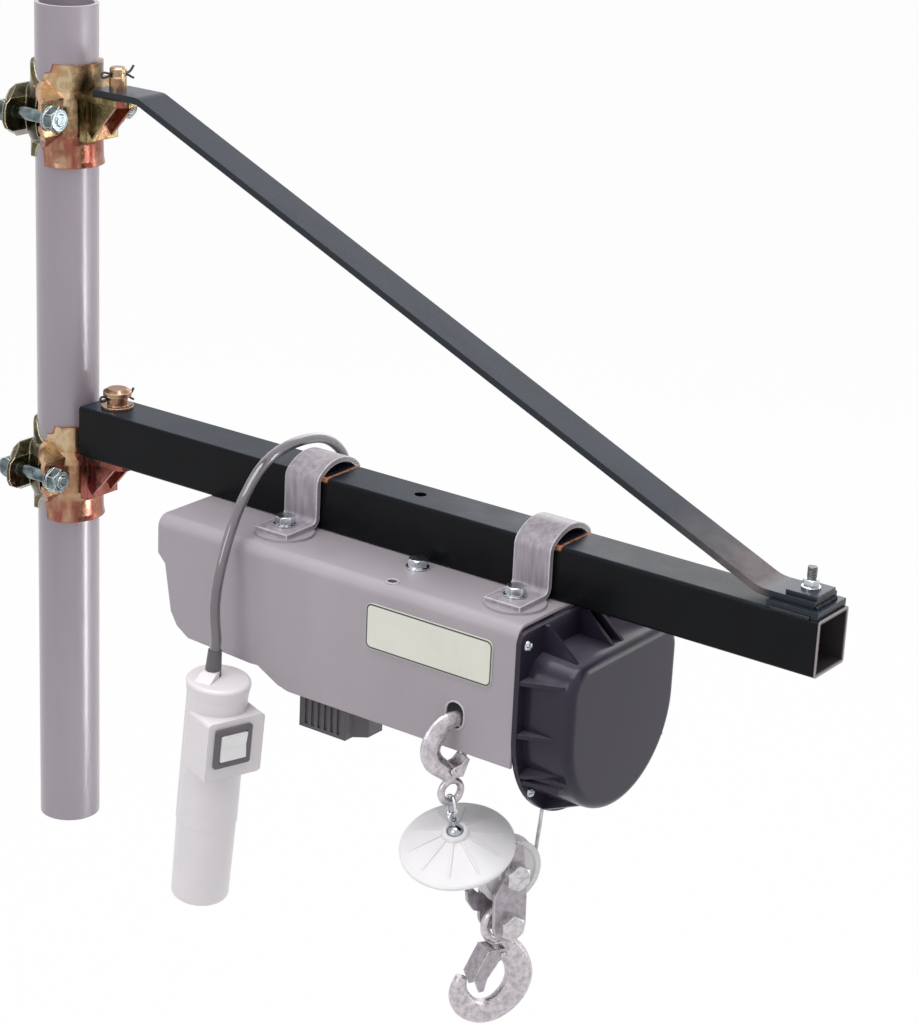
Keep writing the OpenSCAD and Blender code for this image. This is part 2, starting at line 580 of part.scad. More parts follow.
module underside_box() color("#4e4c52") difference() {
    along_z(under_z, tray_z) polygon([[under_x, -under_y], [under_x + under_l, -under_y],
        [under_x + under_l, 9 - under_y], [under_x + under_l + 9, 16 - under_y],
        [under_x + under_l + 9, under_w - under_y], [under_x, under_w - under_y]]);
    // upright flutes on its front and inner end
    for (i = [0:5]) translate([under_x + 5 + 6*i, -under_y - 1, under_z + 3]) cube([3, 2.6, 70]);
    for (i = [0:4]) translate([under_x - 1, 5 - under_y + 6*i, under_z + 3]) cube([2.6, 3, 70]);
}
module name_plate() color("#ddd9c6") along_y(-house_y - 1.2, -house_y) translate([414, boom_z - 52])
    round_rect(108, 34, 5);

// ---------- hook on the rope's end ----------
eh = [slot_x + 1, -house_y - 2, house_bot - 30.8];
eh_turn = 20;
eye_bar = 2.6;
// frame of the end hook: first axis points away from the housing, second up
module end_hook_frame() translate(eh) rotate([0, 0, -eh_turn]) rotate([0, 0, -90]) children();
eh_keys = [[0.5, 9, 5.2, 4], [4.2, 15.5, 6.6, 4], [15, 25, 7.6, 4], [19, 34.5, 8, 4.2], [16, 44, 8.4, 4.2],
    [9.5, 51.5, 7.6, 4], [0.5, 54.8, 6, 3.8], [-5.5, 53.4, 5, 3.4], [-9.6, 48, 3.6, 3], [-10.6, 42, 2.4, 2.4]];
module end_hook() color("#b5aeb4") end_hook_frame() {
    k = spline(eh_keys, 4);
    difference() {
        union() {
            sweep([for (q = k) [q[0], 0, q[1]]], [for (q = k) q[2]], [for (q = k) q[3]], [0, 1, 0], 16);
            rotate([90, 0, 0]) rotate_extrude() translate([8.2, 0]) circle(r = eye_bar, $fn = 24);
        }
        rotate([90, 0, 0]) cylinder(r = 8.3 - eye_bar, h = 20, center = true);
    }
    translate([1.5, 0, 17]) rotate([90, 0, 0]) cylinder(d = 3, h = 13, center = true);
}
module end_hook_latch() color("#8f8a90") end_hook_frame() {
    for (s = [-1, 1]) translate([0, s*5.6, 0]) along_y(-0.6, 0.6) difference() {
        polygon([[4.5, 17], [2, 13], [-5.6, 12.5], [-10.4, 24.5], [-8.6, 26.5], [-4, 22], [2, 20.5]]);
        translate([1.5, 17]) circle(d = 3.2);
    }
    along_y(-6, 6) polygon([[-5.6, 12.5], [-10.4, 24.5], [-9.2, 25.3], [-4.6, 13.2]]);
    along_y(-2.6, 2.6) polygon([[-10.4, 24.5], [-9.3, 32], [-7.2, 39.5], [-6.1, 39.5], [-8, 32], [-9.2, 25.3]]);
}

// ---------- chain, disc and rope ----------
hub = eh + [9, -5, -27.2];
disc_n = unit([0.09, -0.36, 0.93]);
module disc_frame() translate(hub) rotate([0, acos(disc_n[2]), atan2(disc_n[1], disc_n[0])]) children();
link_top = eh + [0, 0, -8.2];
link_r = 5;
link_d = 2.6;
ball_r = 5.6;
// across the end hook's flat side, the way the link's two legs are apart
link_side = [cos(eh_turn), -sin(eh_turn), 0];
chain_a = link_top + [0, 0, eye_bar + link_d/2 + 0.4] - 1.3*link_side;
chain_dir = unit(chain_a - hub);
chain_m = hub + 10.5*chain_dir;
// puts children at a point, upright along v, their first axis turned towards w
module stand(at, v, w) {
    b = acos(v[2]);
    a = atan2(v[1], v[0]);
    ex = [cos(b)*cos(a), cos(b)*sin(a), -sin(b)];
    ey = [-sin(a), cos(a), 0];
    translate(at) rotate([0, b, a]) rotate([0, 0, atan2(w*ey, w*ex)]) children();
}
module link(a, b, d, w) stand((a + b)/2, unit(b - a), w) {
    l = norm(b - a);
    for (s = [-1, 1]) {
        translate([s*link_r, 0, 0]) cylinder(d = d, h = l - 2*link_r + 2*eps, center = true, $fn = 24);
        translate([0, 0, s*(l/2 - link_r)]) rotate([90, 0, 0]) rotate_extrude(angle = s*180)
            translate([link_r, 0]) circle(d = d, $fn = 24);
    }
}
// link through the hook's eye, rope loop and the crimped ball in the disc's hub
module chain_links() color("#c3c0c8") {
    link(chain_a, chain_m, link_d, link_side);
    stand(chain_m, chain_dir, link_side) rotate([0, 90, 0]) rotate_extrude()
        translate([3.2, 0]) circle(r = 1.2, $fn = 24);
    stand(hub, chain_dir, link_side) translate([0, 0, 4]) cylinder(r = 2, h = 3);
    translate(hub) sphere(r = ball_r, $fn = 32);
}
module limit_disc() color("#e2e0e2") disc_frame() {
    difference() {
        rotate_extrude($fn = 96) polygon([[ball_r + 0.4, -2.2], [ball_r + 0.4, 2], [6.6, 2.6], [8.2, 2.6],
            [9.4, 1.4], [10, -0.4], [disc_r - 1.2, -12], [disc_r, -13], [disc_r, -14.6],
            [disc_r - 1.6, -14.6], [disc_r - 2, -13.8], [9.2, -3.2], [8.4, -4.8], [4.4, -4.8], [4.4, -3.7]]);
    }
    for (i = [0:9]) rotate([0, 0, 36*i + 12]) along_y(-1, 1) polygon([[9.4, -0.6], [10.4, 0.5],
        [disc_r - 9, -8.4], [disc_r - 5, -10.7], [disc_r - 6, -12]]);
}

// block frame: first axis along the sheave's axle, origin at the lower bolt
low_bolt = hub + [17.8, 37, -75.8];
block_turn = -25;
block_tilt = -1;
up_y = 3;
module block_frame() translate(low_bolt) rotate([0, 0, block_turn]) rotate([-block_tilt, 0, 0]) children();
function turn_z(v, a) = [v[0]*cos(a) - v[1]*sin(a), v[0]*sin(a) + v[1]*cos(a), v[2]];
function tilt_x(v, a) = [v[0], v[1]*cos(a) - v[2]*sin(a), v[1]*sin(a) + v[2]*cos(a)];
function block_pt(v) = low_bolt + turn_z(tilt_x(v, -block_tilt), block_turn);
sheave_c = block_pt([0, up_y, block_h]);
rope_r = sheave_d/2 - 2.5;
axle = turn_z([1, 0, 0], block_turn);
side = turn_z([0, 1, 0], block_turn);
drum_exit = [470, drum_y + drum_r + 1, drum_z];
// the rope's two free parts touch the sheave at angles worked out from where they come from
function flat_pt(p) = [(p - sheave_c)*side, (p - sheave_c)[2]];
function on_sheave(a) = sheave_c + rope_r*cos(a)*side + rope_r*sin(a)*[0, 0, 1];
rope_start = hub + (ball_r + 0.05)*unit(sheave_c - rope_r*side - hub);
qa = flat_pt(rope_start);
qb = flat_pt(drum_exit);
ang_a = atan2(qa[1], qa[0]) + acos(rope_r/norm(qa));
ang_b = 360 + atan2(qb[1], qb[0]) - acos(rope_r/norm(qb));
rope_route = cat([[rope_start], [for (i = [0:12]) on_sheave(ang_a + (ang_b - ang_a)*i/12)],
    [for (i = [1:4]) on_sheave(ang_b) + (drum_exit - on_sheave(ang_b))*i/4]]);
module hoist_rope() color("#b8b6bb") sweep(rope_route, same(rope_route, rope_d/2),
    same(rope_route, rope_d/2), axle, 10);

plate_x = block_in/2;
block_plate = 3;
module sheave() color("#d8d6d8") block_frame() translate([0, up_y, block_h]) rotate([0, 90, 0])
    rotate_extrude($fn = 96) polygon([[block_bolt_d/2 + 0.06, -7], [block_bolt_d/2 + 4, -7], [block_bolt_d/2 + 5, -4],
        [sheave_d/2 - 5, -4], [sheave_d/2 - 4, -5.5], [sheave_d/2, -5.5], [sheave_d/2 - 4.4, -1.6],
        [sheave_d/2 - 4.6, 0], [sheave_d/2 - 4.4, 1.6], [sheave_d/2, 5.5], [sheave_d/2 - 4, 5.5],
        [sheave_d/2 - 5, 4], [block_bolt_d/2 + 5, 4], [block_bolt_d/2 + 4, 7], [block_bolt_d/2 + 0.06, 7]]);
module plate_shape(horn) difference() {
    union() {
        polygon(cat([arc(0, 0, 13, 180, 360, 16), [[13, 20], [11.5, block_h - 3]],
            arc(up_y + 1, block_h + 19, 6, 0, 180, 10), [[up_y - 6, block_h + 4], [-9, block_h - 7], [-13, block_h - 13]]]));
        if (horn) polygon(cat([[[-8, 2], [-18, 6], [-23, 14], [-24, 22]],
            arc(up_y, block_h, sheave_d/2 + 2, 216, 246, 6), [[-6, 12]]]));
    }
    circle(d = block_bolt_d + 0.3);
    translate([up_y, block_h]) circle(d = block_bolt_d + 0.3);
}
module block_plates() color("#8d868c") block_frame() {
    along_x(plate_x, plate_x + block_plate) plate_shape(false);
    along_x(-plate_x - block_plate, -plate_x) plate_shape(true);
}
module block_bolt() {
    rod_x(block_bolt_d, -plate_x - block_plate - 9, plate_x + block_plate + 1);
    translate([plate_x + block_plate, 0, 0]) rotate([0, 90, 0]) hex(17, 6.4);
    translate([-plate_x - block_plate - 8, 0, 0]) rotate([0, 90, 0]) hex(17, 8);
}
module block_bolts() color("#a29ba0") block_frame() {
    block_bolt();
    translate([0, up_y, block_h]) block_bolt();
}

// ---------- main hook ----------
hook_tilt = 0;
eye_r = 16.5;
eye_in = 9.5;
eye_drop = eye_in - block_bolt_d/2 - 0.3;
module hook_frame() translate(low_bolt) rotate([0, 0, block_turn]) rotate([-hook_tilt, 0, 0]) children();
hook_keys = [[0, -14, 8.8, 6], [5.5, -23, 8.8, 6], [13.5, -35, 10, 6.6], [17, -49, 11, 7.2], [12.5, -61.5, 11.2, 7.4],
    [1.5, -70.2, 10.2, 7.2], [-11.5, -72.3, 9.2, 6.8], [-23.5, -67, 8.8, 6.2], [-31, -57.5, 8.2, 5.6],
    [-32.6, -48.5, 6.6, 5], [-30.4, -40, 4.4, 4.2]];
latch_p = [-2, -25];
latch_pin_d = 4;
module main_hook() color("#9b9398") hook_frame() {
    k = spline(hook_keys, 4);
    difference() {
        union() {
            sweep([for (q = k) [0, q[0], q[1]]], [for (q = k) q[2]], [for (q = k) q[3]], [1, 0, 0], 16);
            translate([0, 0, -eye_drop]) rotate([0, 90, 0]) rotate_extrude()
                translate([(eye_r + eye_in)/2, 0]) circle(r = (eye_r - eye_in)/2, $fn = 32);
        }
        translate([0, 0, -eye_drop]) rotate([0, 90, 0]) cylinder(r = eye_in + 0.2, h = 30, center = true);
    }
    translate([0, latch_p[0], latch_p[1]]) rod_x(latch_pin_d, -9.2, 9.2);
}
module main_hook_latch() color("#6f6a70") hook_frame() {
    for (s = [-1, 1]) translate([s*7.3, 0, 0]) along_x(-0.6, 0.6) difference() {
        polygon(cat([arc(latch_p[0], latch_p[1], 4.2, -30, 90, 6), [[-13.6, -20], [-24.6, -40], [-20, -51.5],
            [-16, -51.5], [-13.6, -42], [-4.6, -30]]]));
        translate(latch_p) circle(d = latch_pin_d + 0.12);
    }
    along_x(-7.9, 7.9) polygon([[-13.6, -20], [-24.6, -40], [-23.4, -40.5], [-12.4, -20.5]]);
}

// ---------- pendant ----------
pend_top = [248, -104, boom_z - 117];
pend_tilt = 5;
pend_r = pend_d/2;
pend_low_r = pend_low_d/2;
box_turn = -16;
module pend_frame() translate(pend_top) rotate([0, pend_tilt, 0]) children();
relief_x = -6;
relief_d = 11.6;
box_w = 48;
box_h = 47;
box_out = 27.5;
box_top = -21;
rock_c = box_top - 20.5;
rock_y = -3;
rock_half = 10.9;
rock_in = box_out - 4;
rock_pin = 3;
well = 22.6;
module box_frame() pend_frame() rotate([0, 0, box_turn]) children();
module pendant_body() color("#e6e3e6") difference() {
    union() {
        pend_frame() rotate_extrude() polygon(cat([[[0, -pend_len]], arc(pend_low_r - 5, -pend_len + 5, 5, -90, 0, 6),
            [[pend_low_r + 0.6, -116], [pend_low_r + 1.2, -114.6], [pend_r - 1.4, -12]],
            arc(pend_r - 3, -3, 3, 0, 90, 6), [[0, 0]]]));
        box_frame() translate([0, 0, box_top - box_h/2]) along_x(0, box_out) round_rect(box_w, box_h, 3);
        pend_frame() translate([4, -2, -pend_len - 4]) cylinder(r = 3, h = 5);
        // ramp beside the cable's sleeve
        pend_frame() translate([relief_x, 0, 0]) rotate([0, 0, -75]) along_y(-6, 6) polygon([[2, -2], [2, 5], [7, 4.4],
            [17, 0], [17, -2]]);
    }
    // well of the rocker, and the holes of its pins
    box_frame() translate([0, rock_y, rock_c]) along_x(box_out - 12, box_out + 1) square(well, center = true);
    box_frame() translate([rock_in, rock_y, rock_c]) rotate([90, 0, 0])
        cylinder(d = rock_pin + 0.1, h = 2*rock_half + 4, center = true, $fn = 32);
    pend_frame() translate([relief_x, 0, -3]) cylinder(d = relief_d + 0.6, h = 12);
}
module switch_frame() color("#3a383d") box_frame() translate([0, rock_y, rock_c]) along_x(box_out, box_out + 2.2)
    difference() {
        round_rect(31, 31, 2);
        square(well, center = true);
    }
module rocker() color("#f2f1f2") box_frame() translate([0, rock_y, rock_c]) {
    along_y(-rock_half, rock_half) polygon([[box_out - 8, -6], [box_out + 0.6, -rock_half + 0.6],
        [box_out + 3.6, -rock_half + 0.9], [box_out + 2.4, 0], [box_out + 3.6, rock_half - 0.9],
        [box_out + 0.6, rock_half - 0.6], [box_out - 8, 6]]);
    translate([rock_in, 0, 0]) rotate([90, 0, 0])
        cylinder(d = rock_pin, h = 2*rock_half + 3.2, center = true, $fn = 32);
}
relief_len = 20;
seat = 0.12;
module strain_relief() color("#55525a") pend_frame() translate([relief_x, 0, 0]) {
    translate([0, 0, -3]) cylinder(d = relief_d, h = 10);
    translate([0, 0, 7 - eps]) cylinder(d1 = relief_d, d2 = cable_d + 2, h = relief_len - 7);
}
cord_end = pend_top + [sin(pend_tilt)*(relief_len + seat) + cos(pend_tilt)*relief_x, 0,
    cos(pend_tilt)*(relief_len + seat) - sin(pend_tilt)*relief_x];
gland_x = 228;
gland_y = 60;
gland_h = 16;
cord_dir = [sin(pend_tilt), 0, cos(pend_tilt)];
module cable_gland() color("#4a484e") translate([gland_x, gland_y, house_top]) {
    hex(18, 5);
    translate([0, 0, 5 - eps]) cylinder(d1 = 16, d2 = 12, h = gland_h - 5);
}
// way of the cable: pendant, up the front of the housing, over the boom, down to the gland
cord_keys = [cord_end, cord_end + 4*cord_dir, cord_end + 9*cord_dir, [242, -103, 278],
    [242, -96, 308], [240, -78, 340], [237, -52, 364], [234, -24, 373], [231, 6, 373],
    [229, 32, 368], [228, 50, 358], [gland_x, gland_y, 347], [gland_x, gland_y, 340],
    [gland_x, gland_y, house_top + gland_h + seat]];
module pendant_cord() color("#6a6770") {
    p = spline(cord_keys, 4);
    sweep(p, same(p, cable_d/2), same(p, cable_d/2), [1, 0, 0], 10);
}

mast_tube();
lower_saddle();
lower_flap();
lower_clamp_bolts();
lower_bracket();
lower_pin();
upper_saddle();
upper_flap();
upper_clamp_bolts();
upper_bracket();
upper_pin();
split_pins();
boom_tube();
strut_bar();
tip_pad();
tip_bolt();
inner_strap();
outer_strap();
strap_bolts();
hoist_housing();
inner_tray();
motor();
rope_drum();
end_cover();
cover_screws();
underside_box();
name_plate();
end_hook();
end_hook_latch();
chain_links();
limit_disc();
hoist_rope();
sheave();
block_plates();
block_bolts();
main_hook();
main_hook_latch();
cable_gland();
pendant_cord();
strain_relief();
pendant_body();
switch_frame();
rocker();
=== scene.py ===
# Jib crane with electric hoist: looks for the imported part. Metres, Z up, boom along X.
import bpy, bmesh, math
from mathutils import Vector, Matrix


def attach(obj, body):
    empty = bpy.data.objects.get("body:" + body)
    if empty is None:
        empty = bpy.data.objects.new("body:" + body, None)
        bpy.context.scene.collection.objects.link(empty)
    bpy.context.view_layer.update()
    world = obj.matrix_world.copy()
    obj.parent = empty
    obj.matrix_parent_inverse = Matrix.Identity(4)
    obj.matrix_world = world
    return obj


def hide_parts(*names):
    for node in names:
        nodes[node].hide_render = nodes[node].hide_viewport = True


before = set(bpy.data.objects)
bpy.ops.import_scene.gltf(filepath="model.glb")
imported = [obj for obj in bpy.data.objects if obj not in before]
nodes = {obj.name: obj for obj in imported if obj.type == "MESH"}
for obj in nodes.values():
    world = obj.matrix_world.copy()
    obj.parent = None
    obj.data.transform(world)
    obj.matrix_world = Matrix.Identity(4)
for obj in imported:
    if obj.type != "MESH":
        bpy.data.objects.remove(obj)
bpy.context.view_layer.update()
scene = bpy.context.scene
mm = 0.001


# camera place in metres, angles in degrees, lens in millimetres
view = {"place": (1.41366, -1.47165, 1.00497), "azimuth": 35.10, "elevation": 19.86, "roll": 2.74,
        "lens": 94.88}


def makeCamera():
    a, e, r = (math.radians(view[k]) for k in ("azimuth", "elevation", "roll"))
    back = Vector((math.sin(a) * math.cos(e), -math.cos(a) * math.cos(e), math.sin(e)))
    right = Vector((math.cos(a), math.sin(a), 0))
    up = back.cross(right)
    right, up = right * math.cos(r) + up * math.sin(r), up * math.cos(r) - right * math.sin(r)
    data = bpy.data.cameras.new("camera")
    data.sensor_fit = "VERTICAL"
    data.sensor_height = 36
    data.lens = view["lens"]
    data.clip_end = 50
    cam = bpy.data.objects.new("camera", data)
    m = Matrix((right, up, back)).transposed().to_4x4()
    m.translation = Vector(view["place"])
    cam.matrix_world = m
    scene.collection.objects.link(cam)
    scene.camera = cam


makeCamera()
print("camera set")


def newMaterial(name):
    mat = bpy.data.materials.new(name)
    mat.use_nodes = True
    tree = mat.node_tree
    tree.nodes.clear()
    out = tree.nodes.new("ShaderNodeOutputMaterial")
    bsdf = tree.nodes.new("ShaderNodeBsdfPrincipled")
    tree.links.new(bsdf.outputs[0], out.inputs[0])
    coord = tree.nodes.new("ShaderNodeTexCoord")
    return mat, tree, bsdf, coord.outputs["Object"]


def group(name, ins, outs):
    g = bpy.data.node_groups.new(name, "ShaderNodeTree")
    for n, kind, value in ins:
        s = g.interface.new_socket(n, in_out="INPUT", socket_type=kind)
        if value is not None:
            s.default_value = value
    for n, kind in outs:
        g.interface.new_socket(n, in_out="OUTPUT", socket_type=kind)
    return g, g.nodes.new("NodeGroupInput"), g.nodes.new("NodeGroupOutput")


def calc(tree, op, a, b=None, clamp=False):
    n = tree.nodes.new("ShaderNodeMath")
    n.operation = op
    n.use_clamp = clamp
    for i, v in enumerate((a, b)):
        if isinstance(v, (int, float)):
            n.inputs[i].default_value = v
        elif v is not None:
            tree.links.new(v, n.inputs[i])
    return n.outputs[0]


def mixColor(tree, fac, a, b):
    n = tree.nodes.new("ShaderNodeMix")
    n.data_type = "RGBA"
    for sock, v in ((n.inputs[0], fac), (n.inputs[6], a), (n.inputs[7], b)):
        if isinstance(v, tuple):
            sock.default_value = (*v, 1)
        else:
            tree.links.new(v, sock)
    return n.outputs[2]


def noise(tree, vector, scale, detail=3, rough=0.5):
    n = tree.nodes.new("ShaderNodeTexNoise")
    n.inputs["Scale"].default_value = scale
    n.inputs["Detail"].default_value = detail
    n.inputs["Roughness"].default_value = rough
    tree.links.new(vector, n.inputs["Vector"])
    return n.outputs["Fac"]


def stretch(tree, vector, scale):
    n = tree.nodes.new("ShaderNodeMapping")
    n.inputs["Scale"].default_value = scale
    tree.links.new(vector, n.inputs["Vector"])
    return n.outputs[0]


def ramp(tree, fac, stops):
    n = tree.nodes.new("ShaderNodeValToRGB")
    e = n.color_ramp.elements
    while len(e) < len(stops):
        e.new(0.5)
    for item, (pos, col) in zip(e, stops):
        item.position = pos
        item.color = (*col, 1)
    tree.links.new(fac, n.inputs[0])
    return n.outputs[0]


def rangeMap(tree, value, lo, hi, outLo=0.0, outHi=1.0):
    n = tree.nodes.new("ShaderNodeMapRange")
    tree.links.new(value, n.inputs[0])
    for i, v in enumerate((lo, hi, outLo, outHi)):
        n.inputs[i + 1].default_value = v
    return n.outputs[0]


def axes(tree, vector):
    n = tree.nodes.new("ShaderNodeSeparateXYZ")
    tree.links.new(vector, n.inputs[0])
    return n.outputs


def bevelNode(tree):
    n = tree.nodes.new("ShaderNodeBevel")
    n.samples = 4
    return n


# how far a value is from a centre, either way
def away(tree, value, centre):
    return calc(tree, "ABSOLUTE", calc(tree, "SUBTRACT", value, centre))


# worn edges and painted edge highlights, found by comparing the true normal with a rounded one and broken up
# by patches
def makeEdgeGroup():
    g, i, o = group("edgeMask", [("Radius", "NodeSocketFloat", 0.0008), ("Break", "NodeSocketFloat", 0.5),
                                 ("Vector", "NodeSocketVector", None)], [("Mask", "NodeSocketFloat")])
    bevel = bevelNode(g)
    g.links.new(i.outputs["Radius"], bevel.inputs["Radius"])
    geo = g.nodes.new("ShaderNodeNewGeometry")
    dot = g.nodes.new("ShaderNodeVectorMath")
    dot.operation = "DOT_PRODUCT"
    g.links.new(bevel.outputs[0], dot.inputs[0])
    g.links.new(geo.outputs["Normal"], dot.inputs[1])
    edge = rangeMap(g, dot.outputs["Value"], 0.995, 0.86)
    patches = noise(g, i.outputs["Vector"], 90, 4, 0.65)
    kept = calc(g, "SUBTRACT", patches, calc(g, "MULTIPLY", i.outputs["Break"], 0.8))
    g.links.new(calc(g, "MULTIPLY", edge, rangeMap(g, kept, 0.0, 0.18), True), o.inputs[0])
    return g


# slow mottle and fine grain shared by the finishes
def makeGrainGroup():
    g, i, o = group("surfaceGrain", [("Vector", "NodeSocketVector", None), ("Large", "NodeSocketFloat", 18.0),
                                     ("Fine", "NodeSocketFloat", 900.0)],
                    [("Mottle", "NodeSocketFloat"), ("Grain", "NodeSocketFloat")])
    big = g.nodes.new("ShaderNodeTexNoise")
    big.inputs["Detail"].default_value = 5
    fine = g.nodes.new("ShaderNodeTexNoise")
    fine.inputs["Detail"].default_value = 2
    for n, s in ((big, "Large"), (fine, "Fine")):
        g.links.new(i.outputs["Vector"], n.inputs["Vector"])
        g.links.new(i.outputs[s], n.inputs["Scale"])
    g.links.new(big.outputs["Fac"], o.inputs[0])
    g.links.new(fine.outputs["Fac"], o.inputs[1])
    return g


# painted sheen: the faces that look up are drawn lighter, less so in patches
def makeTopSheenGroup():
    g, i, o = group("paintedTopSheen", [("Vector", "NodeSocketVector", None), ("Normal", "NodeSocketVector", None)],
                    [("Mask", "NodeSocketFloat")])
    up = axes(g, i.outputs["Normal"])[2]
    patches = rangeMap(g, noise(g, i.outputs["Vector"], 45), 0.35, 0.65, 0.6, 1)
    g.links.new(calc(g, "MULTIPLY", rangeMap(g, up, 0.8, 0.98), patches), o.inputs[0])
    return g


edgeGroup, grainGroup, topSheenGroup = makeEdgeGroup(), makeGrainGroup(), makeTopSheenGroup()


def useGroup(tree, g, **values):
    n = tree.nodes.new("ShaderNodeGroup")
    n.node_tree = g
    for k, v in values.items():
        if isinstance(v, (int, float)):
            n.inputs[k].default_value = v
        else:
            tree.links.new(v, n.inputs[k])
    return n.outputs


def bumpNormal(tree, bsdf, height, strength, distance, radius):
    b = tree.nodes.new("ShaderNodeBump")
    b.inputs["Strength"].default_value = strength
    b.inputs["Distance"].default_value = distance
    tree.links.new(height, b.inputs["Height"])
    if radius:
        bevel = bevelNode(tree)
        bevel.inputs["Radius"].default_value = radius
        tree.links.new(bevel.outputs[0], b.inputs["Normal"])
    tree.links.new(b.outputs[0], bsdf.inputs["Normal"])


# what a finish has unless it says otherwise; large and fine are noise scales, the other lengths in metres
plain = dict(large=18.0, fine=900.0, vary=0.1, metallic=0, rough=0.5, roughVary=0.06, bump=0.15,
             bumpDepth=0.0002, round=0.0006, wearAndGlintRadius=0.0009, wearAndGlintBreak=0.5, coatRough=0.15,
             underDepth=0.006)


# a painted, plated or moulded finish with mottle, grain, rounded edges and worn edges, which on some finishes
# are painted highlights
def finish(name, given):
    f = {**plain, **given}
    mat, tree, bsdf, coord = newMaterial(name)
    vec = stretch(tree, coord, f["stretch"]) if "stretch" in f else coord
    mottle, grain = useGroup(tree, grainGroup, Vector=vec, Large=f["large"], Fine=f["fine"])[:2]
    dark = tuple(c * (1 - f["vary"]) for c in f["color"])
    light = tuple(min(1, c * (1 + f["vary"])) for c in f["color"])
    col = mixColor(tree, rangeMap(tree, mottle, 0.35, 0.65), dark, light)
    if "wearAndGlint" in f:
        edge = useGroup(tree, edgeGroup, Vector=coord, Radius=f["wearAndGlintRadius"], Break=f["wearAndGlintBreak"])[0]
        col = mixColor(tree, calc(tree, "MULTIPLY", edge, f["wearAndGlint"]), col, f["wearAndGlintColor"])
    # a painted sheen: faces that look up get a lighter colour
    if "topSheen" in f:
        normal = tree.nodes.new("ShaderNodeTexCoord").outputs["Normal"]
        col = mixColor(tree, useGroup(tree, topSheenGroup, Vector=coord, Normal=normal)[0], col, f["topSheen"])
    tree.links.new(col, bsdf.inputs["Base Color"])
    bsdf.inputs["Metallic"].default_value = f["metallic"]
    gloss = rangeMap(tree, mottle, 0.3, 0.7, f["rough"] - f["roughVary"], f["rough"] + f["roughVary"])
    tree.links.new(gloss, bsdf.inputs["Roughness"])
    if "ior" in f:
        bsdf.inputs["IOR"].default_value = f["ior"]
    if "under" in f:
        # light comes through a thin white moulding
        bsdf.inputs["Subsurface Weight"].default_value = f["under"]
        bsdf.inputs["Subsurface Scale"].default_value = f["underDepth"]
        bsdf.inputs["Subsurface Radius"].default_value = (1, 1, 1)
    if "coat" in f:
        bsdf.inputs["Coat Weight"].default_value = f["coat"]
        bsdf.inputs["Coat Roughness"].default_value = f["coatRough"]
    bumpNormal(tree, bsdf, grain, f["bump"], f["bumpDepth"], f["round"])
    return mat, tree, bsdf, coord, col


